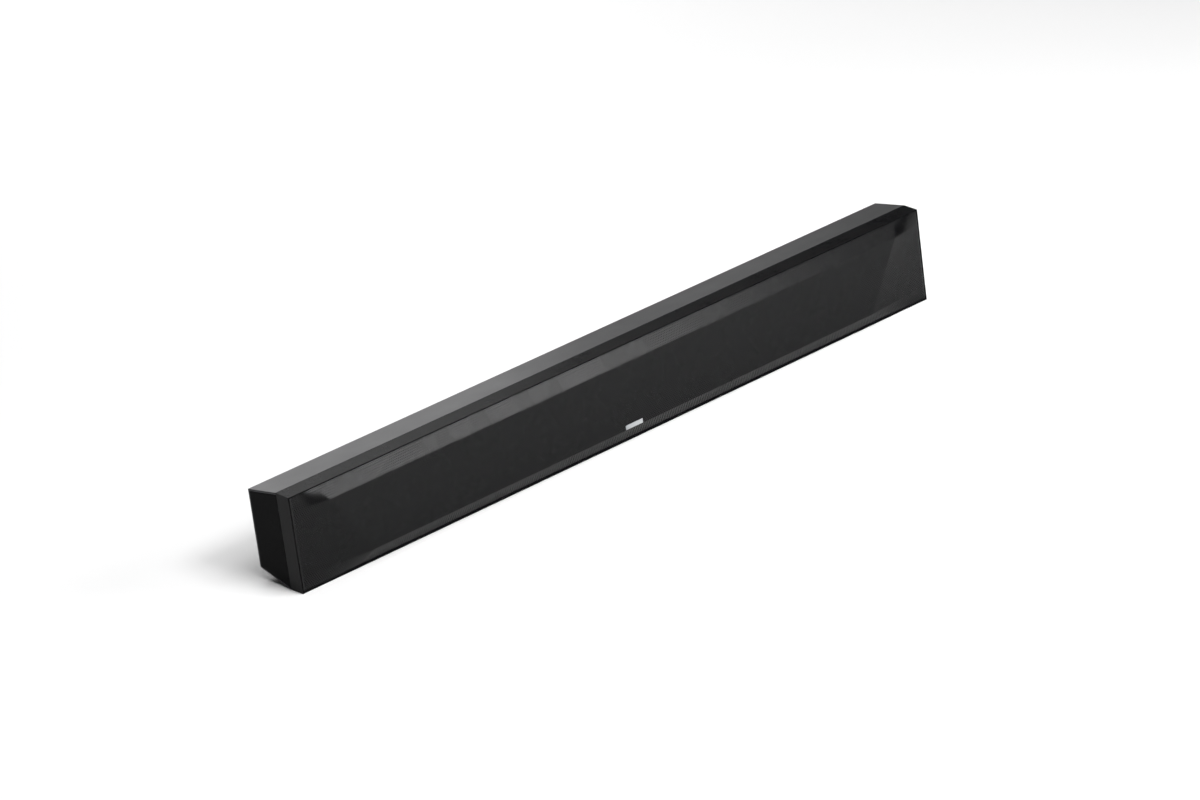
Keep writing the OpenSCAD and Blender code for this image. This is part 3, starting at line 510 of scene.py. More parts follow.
def skin_sheet(inset, offset, thickness):
    """A thin closed sheet that lies behind the faceted skin, offset back by a distance.

    Its points are the grid of x and z inside the outline, with the skin's depth plus the offset, and the
    same again one thickness further back. The rim joins the two.
    """
    xs = np.linspace(-GRILLE_X + inset, GRILLE_X - inset, 160)
    zs = np.unique(np.concatenate([np.linspace(GRILLE_LOW + inset, CREASE_LOW, 12),
                                   np.linspace(CREASE_LOW, CREASE_HIGH, 24),
                                   np.linspace(CREASE_HIGH, GRILLE_HIGH - inset, 12)]))
    x, z = np.meshgrid(xs, zs)
    y = skin_depth(x, z) + offset
    layer = np.stack([x, y, z], axis=-1).reshape(-1, 3)
    n = len(layer)
    front = grid_faces(len(zs), len(xs))
    index = np.arange(n).reshape(x.shape)
    rim = np.concatenate([index[0], index[1:, -1], index[-1, -2::-1], index[-2:0:-1, 0]])
    following = np.roll(rim, -1)
    walls = np.stack([rim, rim + n, following + n, following], axis=1)
    points = np.concatenate([layer, layer + (0, thickness, 0)])
    return points, np.concatenate([front, front[:, ::-1] + n, walls])


def ring_bar(outer, inner, y0, y1):
    """A rectangular ring round the front: a profile of four corners carried round four mitred corners.

    outer and inner are (half width, low, high) of the ring's two outlines.
    """
    profile = ((outer, y0), (outer, y1), (inner, y1), (inner, y0))
    signs = ((-1, 1), (1, 1), (1, 2), (-1, 2))
    points = np.array([[(sx * line[0], y, line[which]) for line, y in profile] for sx, which in signs])
    return points.reshape(-1, 3), grid_faces(4, 4, wrap_rows=True, wrap_columns=True)


def fibre_pad(low, high, side):
    """A crowned pad of fibre: a squared-off oval in Y and Z carried along X and drawn in at both ends.

    At angle a the section is (|cos a| ^ 0.4, |sin a| ^ 0.4) with their signs. The ends' share is
    (1 - |t| ^ 6) ^ 0.25 for t from -1 to 1. Its height follows the housing's slopes, low sine waves make
    it uneven, and it is dented round the wall insert's boss.
    """
    along, around, power = 120, 64, 0.4
    roof_drop, ground_rise, clear = 0.0040, 0.0070, 0.0012
    boss_r, boss_front = 0.014, 0.004
    t = np.sin(np.linspace(-1, 1, along) * math.pi / 2)[:, None]
    a = np.linspace(0, 2 * math.pi, around, endpoint=False)[None, :]
    ends = np.maximum(1 - np.abs(t) ** 6, 0) ** 0.25
    c = np.sign(np.cos(a)) * np.abs(np.cos(a)) ** power
    s = np.sign(np.sin(a)) * np.abs(np.sin(a)) ** power
    waves = np.random.default_rng(7 + side)
    lump = sum(np.sin(waves.uniform(8, 26) * t + waves.integers(1, 5) * a + waves.uniform(0, 6))
               for _ in range(6)) / 6
    x = (low.x + high.x) / 2 + t * (high.x - low.x) / 2 + 0 * a
    half_y = (high.y - low.y) / 2 * (0.93 + 0.07 * lump) * (0.55 + 0.45 * ends)
    y = (low.y + high.y) / 2 + half_y * c
    drop = (y - low.y) / (high.y - low.y)
    roof = high.z - roof_drop * drop - clear
    ground = low.z + ground_rise * drop + clear
    z = (roof + ground) / 2 + (roof - ground) / 2 * s * (0.95 + 0.05 * lump) * ends
    boss = np.exp(-(((x - side * INSERT_X) ** 2 + (z - INSERT_Z) ** 2) / boss_r ** 2) ** 2)
    y = y - boss * np.maximum(y - low.y - boss_front, 0) * 0.78
    return np.stack([x, y, z], axis=-1).reshape(-1, 3), [grid_faces(along, around, wrap_columns=True)]


def outward(points, faces):
    """Faces of a closed shape, turned over where the volume that they bound comes out negative."""
    total = 0.0
    for block in faces:
        a = points[block[:, 0]]
        for n in range(1, block.shape[1] - 1):
            total += np.einsum("ij,ij->", a, np.cross(points[block[:, n]], points[block[:, n + 1]]))
    return [block[:, ::-1] for block in faces] if total < 0 else faces


def closed_mesh(name, points, faces, poles=False):
    """A closed mesh that faces outward. Points that meet at a pole are merged."""
    mesh = build_mesh(name, points, outward(points, faces))
    if poles:
        work = bmesh.new()
        work.from_mesh(mesh)
        bmesh.ops.remove_doubles(work, verts=work.verts, dist=WELD)
        work.to_mesh(mesh)
        work.free()
    return mesh


def turned(profile, x, z, segments=96, loop=True):
    """A profile of (radius, depth) in mm carried round an axis that runs back from the baffle's front face.

    A point is (x + r cos a, face + depth, z + r sin a). A loop is joined to its own start. A profile that
    isn't one starts and ends on the axis.
    """
    radius, depth = np.array(profile, float).T[:, :, None] * MM
    angle = np.linspace(0, 2 * math.pi, segments, endpoint=False)[None, :]
    points = np.stack([x + radius * np.cos(angle), Y_BAFFLE + depth + 0 * angle,
                       z + radius * np.sin(angle)], axis=-1)
    return points.reshape(-1, 3), [grid_faces(len(profile), segments, wrap_rows=loop, wrap_columns=True)]


def place_turned(name, profile, x, slot, body, node, loop=True, finish=None):
    """Turns a profile about a driver's axis and places it instead of a CAD node."""
    points, faces = turned(profile, x, DRIVER_Z, loop=loop)
    place_piece(name, closed_mesh(name, points, faces, poles=not loop), slot, body, (node,), 35, finish)


def arc(centre, radius, start, end, steps):
    """Points (r, depth) on an arc about a centre, between two angles in degrees, 90 towards the front."""
    a = np.radians(np.linspace(start, end, steps))
    rx, ry = (radius, radius) if np.isscalar(radius) else radius
    return [(centre[0] + rx * c, centre[1] - ry * s) for c, s in zip(np.cos(a), np.sin(a))]


def rounded_stack(centre, half_w, half_h, corner, levels, steps):
    """A rounded rectangle in X and Z carried through levels of (inset, y), closed by a face at each end.

    A point of the outline is the corner's centre plus corner x (cos a, sin a), each side less the inset.
    """
    quarter = np.linspace(0, math.pi / 2, steps)
    angle = np.concatenate([quarter + n * math.pi / 2 for n in range(4)])
    sx = np.repeat([1, -1, -1, 1], steps)
    sz = np.repeat([1, 1, -1, -1], steps)
    rows = []
    for inset, y in levels:
        r = max(corner - inset, 0.05 * MM)
        rows.append(np.stack([centre[0] + sx * (half_w - inset - r) + r * np.cos(angle),
                              np.full(len(angle), y),
                              centre[1] + sz * (half_h - inset - r) + r * np.sin(angle)], axis=-1))
    n = len(angle)
    caps = np.stack([np.arange(n)[::-1], np.arange(n) + (len(levels) - 1) * n])
    return np.concatenate(rows), [grid_faces(len(levels), n, wrap_columns=True), caps]


def board_block(x0, x1, z0, z1, y0, y1, corner=0.6, ease=0.25, steps=4):
    """A block on a circuit board, in mm, with its corners rounded and both rims eased."""
    levels = [(ease * MM, y0 * MM), (0, (y0 + ease) * MM), (0, (y1 - ease) * MM), (ease * MM, y1 * MM)]
    centre = ((x0 + x1) / 2 * MM, (z0 + z1) / 2 * MM)
    return rounded_stack(centre, (x1 - x0) / 2 * MM, (z1 - z0) / 2 * MM, corner * MM, levels, steps)


def capacitor(x, z, radius, height):
    """A can with its crimped groove: a turned profile whose radius drops by 0.5 mm near the board."""
    groove, top = radius - 0.5, height - 0.3
    profile = [(0, 0), (radius - 0.4, 0), (radius, 0.5), (radius, 1.6), (groove, 2.1), (groove, 2.4),
               (radius, 2.9), (radius, height - 0.5), (groove, height), (0.86 * radius, top), (0, top)]
    return turned([(r, d + BOARD_BASE) for r, d in profile], x * MM, z * MM, 48, loop=False)


def choke(x, z):
    """A coil on a bobbin: a turned profile with two flanges and a turn of wire every 0.6 mm."""
    radius, height, half_turn = 5, 9, 0.3
    profile = [(0, 0), (radius, 0), (radius, 0.9), (radius - 1.1, 1.0)]
    profile += [(radius - 0.75 - 0.35 * (n % 2), 1.3 + half_turn * n)
                for n in range(int((height - 2.6) / half_turn))]
    profile += [(radius - 1.1, height - 1.0), (radius, height - 0.9), (radius, height), (0, height)]
    return turned([(r, d + BOARD_BASE) for r, d in profile], x * MM, z * MM, 40, loop=False)


def joined(parts):
    """Several (points, faces) shapes as one."""
    points, faces, count = [], [], 0
    for p, f in parts:
        points.append(p)
        faces.extend(block + count for block in outward(p, f))
        count += len(p)
    return np.concatenate(points), faces


def fit(name, parts, slot, node, finish=None):
    """Joins several shapes and places them instead of a CAD node."""
    points, faces = joined(parts)
    mesh = closed_mesh(name, points, faces, poles=True)
    place_piece(name, mesh, slot, replaced=(node,), smooth=35, finish=finish)


def tube(path, radius):
    """A circle carried along a path: each point is the path's plus radius x (cos a, sin a) across it."""
    sides = 10
    path = np.asarray(path, float)
    along = np.gradient(path, axis=0)
    along /= np.linalg.norm(along, axis=1)[:, None]
    across = np.cross(along, (0, 1, 0))
    across /= np.linalg.norm(across, axis=1)[:, None]
    over = np.cross(along, across)
    angle = np.linspace(0, 2 * math.pi, sides, endpoint=False)[None, :, None]
    rings = path[:, None] + radius * (np.cos(angle) * across[:, None] + np.sin(angle) * over[:, None])
    n = len(path)
    caps = np.stack([np.arange(sides)[::-1], np.arange(sides) + (n - 1) * sides])
    return rings.reshape(-1, 3), [grid_faces(n, sides, wrap_columns=True), caps]


def twisted_pair(corners, radius, lay, phase):
    """One wire of a twisted pair: a helix round a path with softened corners, in mm.

    The path through the corners is cut into 0.8 mm steps and each point is the mean of seven. The wire's
    point is the path's plus radius x (cos p, sin p) across it, with p one turn every lay.
    """
    step = 0.8
    corners = np.array(corners, float)
    parts = [np.linspace(a, b, max(int(np.linalg.norm(b - a) / step), 2), endpoint=False)
             for a, b in zip(corners[:-1], corners[1:])]
    path = np.concatenate(parts + [corners[-1:]])
    padded = np.pad(path, ((3, 3), (0, 0)), mode="edge")
    path = sum(padded[n:n + len(path)] for n in range(7)) / 7
    along = np.gradient(path, axis=0)
    length = np.cumsum(np.linalg.norm(along, axis=1))
    along /= np.linalg.norm(along, axis=1)[:, None]
    over = np.array((0.0, 1.0, 0.0))
    turn = (2 * math.pi * length / lay + phase)[:, None]
    return (path + radius * (np.cos(turn) * over + np.sin(turn) * np.cross(along, over))) * MM


def pan_head_screw(place, toward, length, sink=0.0):
    """A pan head screw whose head top is at a place and looks along toward, with a cross recess.

    length is its shank's, and sink is how much thinner the head is, both in mm. Each row is a ring of
    radius r at a height h. The recess's ring follows a plus: its radius is reach / cos a near an arm's
    axis and half width / sin a past it.
    """
    half, reach, head, head_t, thread = 0.35, 1.5, 2.7, 1.5 - sink, 1.4
    turn = math.degrees(math.atan2(half, reach))
    base = np.array([0, turn, 30, 45, 60, 90 - turn])
    angle = np.radians(np.concatenate([base + 90 * n for n in range(4)]))
    folded = np.abs((angle + math.pi / 4) % (math.pi / 2) - math.pi / 4)
    plus = np.minimum(reach / np.cos(folded), half / np.maximum(np.sin(folded), 1e-6))
    one = np.ones_like(angle)
    tip = -head_t - length
    rows = [(0 * one, tip), (thread * 0.7 * one, tip),
            (thread * one, tip + 0.8), (thread * one, -head_t), (head * one, -head_t),
            (head * one, -0.5), (0.9 * head * one, -0.16), (0.72 * head * one, 0.0), (plus, 0.0),
            (0.85 * plus, -0.9), (0 * one, -1.0)]
    r = np.array([row[0] for row in rows]) * MM
    h = np.array([row[1] for row in rows])[:, None] * MM + 0 * r
    axis = np.array(toward, float)
    side = np.array((1.0, 0.0, 0.0))
    other = np.cross(axis, side)
    points = (np.array(place) + h[..., None] * axis + (r * np.cos(angle))[..., None] * side
              + (r * np.sin(angle))[..., None] * other)
    return points.reshape(-1, 3), [grid_faces(len(rows), len(angle), wrap_columns=True)]


# ---- Settings ----

def colour_setting(name, description, default):
    """A colour that the panel offers."""
    return bpy.props.FloatVectorProperty(name=name, description=description, subtype="COLOR",
                                         default=paint(default), min=0, max=1)


def radiance_setting(name, box, default):
    """A light's radiance that the panel offers."""
    return bpy.props.FloatProperty(name=name, description="Radiance of " + box, default=default, min=0)


class SoundbarLook(bpy.types.PropertyGroup):
    """Colours of the outer pieces."""
    housing: colour_setting("Housing", "Anodised housing", "#313133")
    moulding: colour_setting("Mouldings", "Frame and end caps", "#08080a")
    grille: colour_setting("Grille", "Powder coat of the grille", "#09090b")
    badge: colour_setting("Badge", "Blank badge", "#d2d4d6")


class SoundbarGrille(bpy.types.PropertyGroup):
    """Sizes of the perforated grille."""
    # The real holes are about 1.5 mm apart. They are drawn coarser, so that they show and stay light.
    pitch: bpy.props.FloatProperty(name="Hole pitch", description="Distance between neighbouring holes",
                                   unit="LENGTH", default=2.59 * MM, min=2.2 * MM, max=6 * MM, precision=5)
    hole: bpy.props.FloatProperty(name="Hole size", description="Hole radius as a share of the pitch",
                                  subtype="FACTOR", default=0.36, min=0.15, max=0.42)


class SoundbarStage(bpy.types.PropertyGroup):
    """Studio floor, lights and camera."""
    floor: colour_setting("Floor", "Colour of the studio floor", "#f9f9f9")
    key: radiance_setting("Key light", "the high front soft box", 22.4)
    overhead: radiance_setting("Overhead", "the soft box overhead", 1.35)
    side: radiance_setting("Side box", "the box at the front left", 9.8)
    back: radiance_setting("Back boxes", "the low boxes behind", 1.7)
    lens: bpy.props.FloatProperty(name="Lens", description="Focal length in millimetres", default=165.76,
                                  min=20)


# ---- Stage ----

def aim(place, target):
    """Rotation that looks from a place to the target along -Z with Y up."""
    forward = (target - place).normalized()
    return forward.to_track_quat("-Z", "Y").to_matrix().to_4x4()


def soft_box(name, azimuth, elevation, distance, width, height, radiance, target):
    """A rectangular area light at a distance from a target that it looks at.

    Its azimuth runs clockwise from behind the bar, so 180 is straight in front. It has an even radiance:
    its power is radiance x area x pi.
    """
    light = bpy.data.lights.new(name, "AREA")
    light.shape = "RECTANGLE"
    light.size, light.size_y = width, height
    light.energy = radiance * width * height * math.pi
    lamp = bpy.data.objects.new(name, light)
    bpy.context.scene.collection.objects.link(lamp)
    turn, rise = math.radians(azimuth), math.radians(elevation)
    target = Vector(target)
    away = (math.sin(turn) * math.cos(rise), math.cos(turn) * math.cos(rise), math.sin(rise))
    place = target + distance * Vector(away)
    lamp.matrix_world = Matrix.Translation(place) @ aim(place, target)


def studio_world(strength):
    """A faint pale surround, four times as bright at the horizon as overhead."""
    world = bpy.data.worlds.new("studio surround")
    world.use_nodes = True
    tree = world.node_tree
    tree.nodes.clear()
    place = add(tree, "ShaderNodeTexCoord")
    height = add(tree, "ShaderNodeSeparateXYZ", links={0: place.outputs["Generated"]}).outputs[2]
    fade = add(tree, "ShaderNodeMapRange",
               {"From Min": 0.0, "From Max": 0.35, "To Min": 1.0, "To Max": 0.25},
               {"Value": height}).outputs[0]
    glow = add(tree, "ShaderNodeMath", {"operation": "MULTIPLY", 1: strength}, {0: fade}).outputs[0]
    shade = add(tree, "ShaderNodeBackground", {"Color": rgba("#ffffff")}, {"Strength": glow})
    add(tree, "ShaderNodeOutputWorld", links={0: shade.outputs[0]})
    bpy.context.scene.world = world


def studio_camera(lens):
    """A camera looking down at the bar from its front left, rolled so that the bar climbs to the right."""
    azimuth, elevation, roll = (math.radians(a) for a in (-38.76, 22.816, -7.667))
    target, distance = Vector((-0.009, 0, 0.048)), 6.5455
    back = Vector((math.sin(azimuth) * math.cos(elevation), -math.cos(azimuth) * math.cos(elevation),
                   math.sin(elevation)))
    right = (-back).cross(Vector((0, 0, 1))).normalized()
    up = right.cross(-back)
    right, up = (right * math.cos(roll) + up * math.sin(roll), up * math.cos(roll) - right * math.sin(roll))
    data = bpy.data.cameras.new("studio camera")
    data.lens, data.sensor_width = lens, 36
    data.clip_end = 60
    camera = bpy.data.objects.new("studio camera", data)
    bpy.context.scene.collection.objects.link(camera)
    camera.matrix_world = Matrix.Translation(target + back * distance) @ Matrix(
        (right, up, back)).transposed().to_4x4()
    bpy.context.scene.camera = camera


class SOUNDBAR_OT_stage(bpy.types.Operator):
    """Make the floor, the soft boxes, the surround and the camera"""
    bl_idname = "soundbar.stage"
    bl_label = "Stage"

    def execute(self, context):
        stage = context.scene.soundbar_stage
        reach, lines = 14.0, 29
        side = np.linspace(-reach, reach, lines)
        x, y = np.meshgrid(side, side)
        points = np.stack([x, y, np.zeros_like(x)], axis=-1).reshape(-1, 3)
        mesh = build_mesh("studio_floor", points, [grid_faces(lines, lines)])
        floor = bpy.data.objects.new("studio_floor", mesh)
        context.scene.collection.objects.link(floor)
        # Rolled matt paint: even and nearly white, without a mirror.
        floor.data.materials.append(worked("painted board, rolled matt white", stage.floor, stage.floor, 3,
                                           0.01, 0.9, Specular_IOR_Level=0.1))
        middle, left_end = (0, 0, 0.06), (-0.45, 0, 0.06)
        boxes = (
            ("key box", 180, 45, 3, 0.9, 0.7, stage.key, middle),
            ("key box at front left", 195, 42, 3, 0.9, 0.7, 0.19 * stage.key, middle),
            ("overhead box", 180, 88, 3, 2.2, 1.4, stage.overhead, middle),
            ("overhead box in front", 180, 65, 3, 1.8, 1.2, 2.4 * stage.overhead, middle),
            ("overhead box at front left", -150, 60, 3, 1.6, 1.2, 1.9 * stage.overhead, middle),
            # Lights the floor behind the bar, straight down.
            ("backdrop box", 0, 89.9, 3.2, 4.4, 3.0, 1.75 * stage.overhead, (1.0, 3.1, 0)),
            # The grille's top band mirrors these. They stand close, so their light falls off to the right.
            ("side box", 143, 22, 1.9, 0.9, 0.6, stage.side, (-0.35, 0, 0.06)),
            ("side box far", 141, 22, 2.4, 1.2, 0.7, 0.17 * stage.side, (-0.1, 0, 0.06)),
            # The housing's top and the frame's edge mirror these from the left end to the right end.
            ("back box left", 33, 9, 2.4, 0.8, 0.5, stage.back, left_end),
            ("back box middle", 35, 9, 2.8, 0.8, 0.5, 0.31 * stage.back, (0.05, 0, 0.06)),
            ("back box right", 38, 9, 2.8, 0.8, 0.5, 0.45 * stage.back, (0.4, 0, 0.06)),
            ("back box far", 15, 10, 3, 0.9, 0.6, 1.06 * stage.back, middle),
            ("back box high", 37, 27, 2.0, 0.7, 0.5, 0.55 * stage.back, left_end),
        )
        for box in boxes:
            soft_box(*box)
        studio_world(0.02)
        studio_camera(stage.lens)
        context.scene.view_settings.view_transform = "Standard"
        return {"FINISHED"}


# ---- Outer pieces ----

class SOUNDBAR_OT_finishes(bpy.types.Operator):
    """Give every CAD node its finish"""
    bl_idname = "soundbar.finishes"
    bl_label = "Finishes"

    def execute(self, context):
        FINISHES.update(finishes(context.scene.soundbar_look))
        for name, node in frame["nodes"].items():
            node.data.materials.clear()
            node.data.materials.append(FINISHES[node_slot(name)])
        return {"FINISHED"}


class SOUNDBAR_OT_housing(bpy.types.Operator):
    """Make the housing and its end caps, with eased edges"""
    bl_idname = "soundbar.housing"
    bl_label = "Housing"

    def execute(self, context):
        eased("rear_housing", 0.35, "housing_shell")
        # The caps are matter than the frame, with nearly no mirror from any side, and a step darker in colour:
        # a darker copy of the frame's moulding, painted shade so that the ends read darker.
        matt = worked("ABS, moulded matt, darkened as painted shade", "#070708", "#030304", 0.5, 0.02, 0.32,
                      Specular_IOR_Level=0.02)
        for side in ("left", "right"):
            eased(f"{side}_end_cap", 0.25, f"{side}_end_plate", finish=matt)
        eased("rear_feet", 1.0, "foot_pads", 3)
        return {"FINISHED"}


class SOUNDBAR_OT_front_frame(bpy.types.Operator):
    """Make the front frame, with eased edges"""
    bl_idname = "soundbar.front_frame"
    bl_label = "Front frame"

    def execute(self, context):
        eased("front_frame", 0.25, "front_frame_moulding")
        return {"FINISHED"}


class SOUNDBAR_OT_grille(bpy.types.Operator):
    """Make the perforated grille, its turned-back edge and the cloth behind it"""
    bl_idname = "soundbar.grille"
    bl_label = "Grille"

    def execute(self, context):
        sizes = context.scene.soundbar_grille
        radius = sizes.pitch * sizes.hole
        step = sizes.pitch * math.sqrt(3) / 2
        bands = [("grille_lower_band", GRILLE_LOW, CREASE_LOW)]
        thirds = np.linspace(CREASE_LOW, CREASE_HIGH, 4)
        bands += [(f"grille_middle_{n + 1}", thirds[n], thirds[n + 1]) for n in range(3)]
        bands += [("grille_upper_band", CREASE_HIGH, GRILLE_HIGH)]
        done = 0
        for name, low, high in bands:
            # The outer bands' rows stand a little further apart, to leave the edge whole.
            rows = int(round((high - low) / step - (0.2 if "middle" not in name else 0)))
            points, quads, triangles = perforated_strip(low, high, rows, done % 2, sizes.pitch, radius)
            place_piece(name, build_mesh(name, points, [quads, triangles]), "grille_black",
                        replaced=("grille_panel",))
            done += rows
        outer = (GRILLE_X, GRILLE_LOW, GRILLE_HIGH)
        inner = (GRILLE_X - TURNED_EDGE, GRILLE_LOW + TURNED_EDGE, GRILLE_HIGH - TURNED_EDGE)
        points, quads = ring_bar(outer, inner, Y_BORDER + SHEET, Y_BORDER + FLANGE_DEPTH)
        place_piece("grille_turned_edge", build_mesh("grille_turned_edge", points, [quads]), "grille_black",
                    replaced=("grille_panel",))
        points, quads = skin_sheet(SCRIM_INSET, SHEET + SCRIM_GAP, SCRIM)
        cloth = place_piece("acoustic_cloth", build_mesh("acoustic_cloth", points, [quads]), "scrim_cloth",
                            replaced=("grille_scrim",))
        return {"FINISHED"}


class SOUNDBAR_OT_badge(bpy.types.Operator):
    """Make the blank badge"""
    bl_idname = "soundbar.badge"
    bl_label = "Badge"

    def execute(self, context):
        eased("badge_plate", 0.3, "blank_badge", 3)
        return {"FINISHED"}


class SOUNDBAR_OT_rear_panel(bpy.types.Operator):
    """Make the connector bay, its sockets, the buttons and the wall inserts"""
    bl_idname = "soundbar.rear_panel"
    bl_label = "Rear panel"

    def execute(self, context):
        for node, width, name in (
                ("connector_bay", 0.3, "connector_recess"), ("mains_inlet", 0.3, "mains_inlet_moulding"),
                ("ethernet_socket", 0.12, "ethernet_shell"), ("hdmi_sockets", 0.12, "hdmi_shell"),
                ("optical_socket", 0.12, "optical_shell"), ("usb_socket", 0.12, "usb_shell"),
                ("setup_button", 0.3, "setup_button_cap"), ("reset_button", 0.3, "reset_button_cap"),
                ("wall_inserts", 0.2, "threaded_inserts")):
            eased(node, width, name)
        return {"FINISHED"}


def cone_profile():
    """The cone's outline: a straight line bowed by a half sine, with five shallow sine ribs on it."""
    bow, rib_t, wall, paper = 0.7, 0.14, 0.25, 0.55
    t = np.linspace(0, 1, 44)
    ribs = rib_t * np.sin(10 * math.pi * t) * (t > 0.1) * (t < 0.9)
    radius = CONE_EDGE[0] + (CONE_NECK[0] - CONE_EDGE[0]) * t
    depth = CONE_EDGE[1] + (CONE_NECK[1] - CONE_EDGE[1]) * t + bow * np.sin(math.pi * t) + ribs
    neck_r, neck_depth = CONE_NECK[0] - 0.8, CONE_NECK[1]
    return (list(zip(radius, depth)) + [(neck_r, neck_depth), (neck_r, neck_depth + 0.7)]
            + list(zip(radius + wall, depth + paper))[::-1] + [(LIP_R, 0.0), (LIP_R, -0.5)])


def coil_profile():
    """The coil's outline: a thin former with one turn of wire every 0.44 mm near its far end."""
    wire, first, last, step = 0.16, 22.2, 30.8, 0.22
    turns = [(COIL[1] - wire * (n % 2), depth)
             for n, depth in enumerate(np.arange(first, last, step)[::-1])]
    former = COIL[1] - 0.2
    return ([(COIL[0], COIL_DEPTH[0]), (COIL[0], COIL_DEPTH[1]), (COIL[1], COIL_DEPTH[1])] + turns
            + [(former, 21.6), (former, COIL_DEPTH[0])])


def surround_profile():
    """The surround's outline: a half roll between a lip on the cone and a flat on the basket's rim."""
    roll, level, inner, outer, lip = (LIP_R + BASKET_MOUTH) / 2, -0.6, 1.35, 1.88, LIP_R - 1.6
    return ([(lip, -0.58), (LIP_R + 0.3, -0.58)] + arc((roll, level), inner, 180, 0, 14)
            + [(BASKET_MOUTH, level), (RIM_R, level), (RIM_R, -1.1), (BASKET_MOUTH + 0.3, -1.15)]
            + arc((roll, level), outer, 10, 172, 20) + [(lip, -0.86)])


def spider_profile():
    """The spider's outline: four waves of 1 - cos between the coil and a flat rim.

    It dips towards the coil by a squared sine and its waves die out there, so that the cone's neck can come
    3 mm nearer.
    """
    wave_t, dip, cloth = 0.65, 1.3, 0.4
    r = np.linspace(SPIDER[0], SPIDER[2], 70)
    inward = (SPIDER[1] - r) / (SPIDER[1] - SPIDER[0])
    dying = np.clip((r - 14.6) / 2, 0, 1)
    wave = np.where(inward > 0, wave_t * (1 - np.cos(8 * math.pi * inward)) * dying, 0)
    level = SPIDER_DEPTH + dip * np.sin(math.pi / 2 * np.clip(inward / 0.6, 0, 1)) ** 2 - wave
    return list(zip(r, level)) + list(zip(r, level + cloth))[::-1]


class SOUNDBAR_OT_woofers(bpy.types.Operator):
    """Make the four woofers: baskets, motors, felted cones, coils, dust caps, surrounds and spiders"""
    bl_idname = "soundbar.woofers"
    bl_label = "Woofers"

    def execute(self, context):
        cone, coil, surround, spider = cone_profile(), coil_profile(), surround_profile(), spider_profile()
        cap = arc((0, 12.1), (13.9, 5.0), 90, 0, 24) + arc((0, 12.4), (13.5, 4.7), 0, 90, 24)
        copper = worked("copper wire, wound and baked", "#c4713a", "#7c3d1a", 0.3, 0.01, 0.3, Metallic=1.0)
        for n, x in WOOFER_X.items():
            eased(f"woofer_{n}_basket", 0.18, f"woofer_{n}_pressed_basket", angle=40)
            eased(f"woofer_{n}_motor", 0.4, f"woofer_{n}_magnet_motor", 3)
            for part, profile, slot, body, node, finish in (
                    ("felted_cone", cone, "cone_paper", f"woofer_{n}", "cone", None),
                    ("voice_coil", coil, "cone_paper", f"woofer_{n}", "cone", copper),
                    ("dust_cap", cap, "cone_paper", f"woofer_{n}", "cone", None),
                    ("rubber_surround", surround, "surround_rubber", "root", "surround", None),
                    ("corrugated_spider", spider, "spider_cloth", "root", "spider", None)):
                place_turned(f"woofer_{n}_{part}", profile, x, slot, body, f"woofer_{n}_{node}",
                             part != "dust_cap", finish)
        return {"FINISHED"}


class SOUNDBAR_OT_tweeters(bpy.types.Operator):
    """Make the two tweeters: bodies, coated domes with their coils, and rolled surrounds"""
    bl_idname = "soundbar.tweeters"
    bl_label = "Tweeters"

    def execute(self, context):
        inner, level = DOME_R - 0.4, -0.6
        dome = arc((0, level), (DOME_R, 5.0), 90, 0, 28) + [(DOME_R, 6.0), (inner, 6.0)]
        dome += arc((0, level), (inner, 4.6), 0, 90, 28)
        roll = (DOME_R + DOME_MOUTH) / 2
        surround = arc((roll, -1.2), 0.7, 180, 0, 14) + arc((roll, -1.2), 0.45, 0, 180, 12)
        for n, x in TWEETER_X.items():
            eased(f"tweeter_{n}_body", 0.35, f"tweeter_{n}_face_plate", 3)
            place_turned(f"tweeter_{n}_silk_dome", dome, x, "dome_silk", f"tweeter_{n}",
                         f"tweeter_{n}_dome", loop=False)
            place_turned(f"tweeter_{n}_dome_roll", surround, x, "surround_rubber", "root",
                         f"tweeter_{n}_surround")
        return {"FINISHED"}


class SOUNDBAR_OT_screws(bpy.types.Operator):
    """Make the pan head screws of the drivers, the baffle, the housing and the rear panel"""
    bl_idname = "soundbar.screws"
    bl_label = "Screws"

    def execute(self, context):
        forward, down, back = (0, -1, 0), (0, 0, -1), (0, 1, 0)

        def round_driver(x, radius, angles):
            """Screws on a circle round a driver, through its rim."""
            head = Y_BAFFLE - 3.5 * MM
            return [pan_head_screw((x + radius * math.cos(a), head, DRIVER_Z - radius * math.sin(a)),
                                   forward, 8) for a in np.radians(angles)]

        front = [s for x in WOOFER_X.values() for s in round_driver(x, 42 * MM, (45, 135, 225, 315))]
        front += [s for x in TWEETER_X.values() for s in round_driver(x, 21.25 * MM, (30, 150, 270))]
        front += [pan_head_screw((x, Y_BAFFLE - 1.5 * MM, z), forward, 10)
                  for x in np.linspace(-0.478, 0.478, 7) for z in (0.0125, 0.1075)]
        # The rear ones' heads are 0.3 mm thinner. Five go up through the housing's lip, four into the bay.
        rear = [pan_head_screw((x, -0.0071, 0.001129), down, 6.8, 0.3) for x in np.linspace(-0.45, 0.45, 5)]
        rear += [pan_head_screw((x, 0.0421, 0.06375 + side), back, 6.5, 0.3)
                 for x in (-0.099, 0.099) for side in (-0.020, 0.020)]
        fit("pan_head_screws_front", front, "screw_steel", "front_screws")
        fit("pan_head_screws_rear", rear, "screw_steel", "housing_screws")
        return {"FINISHED"}


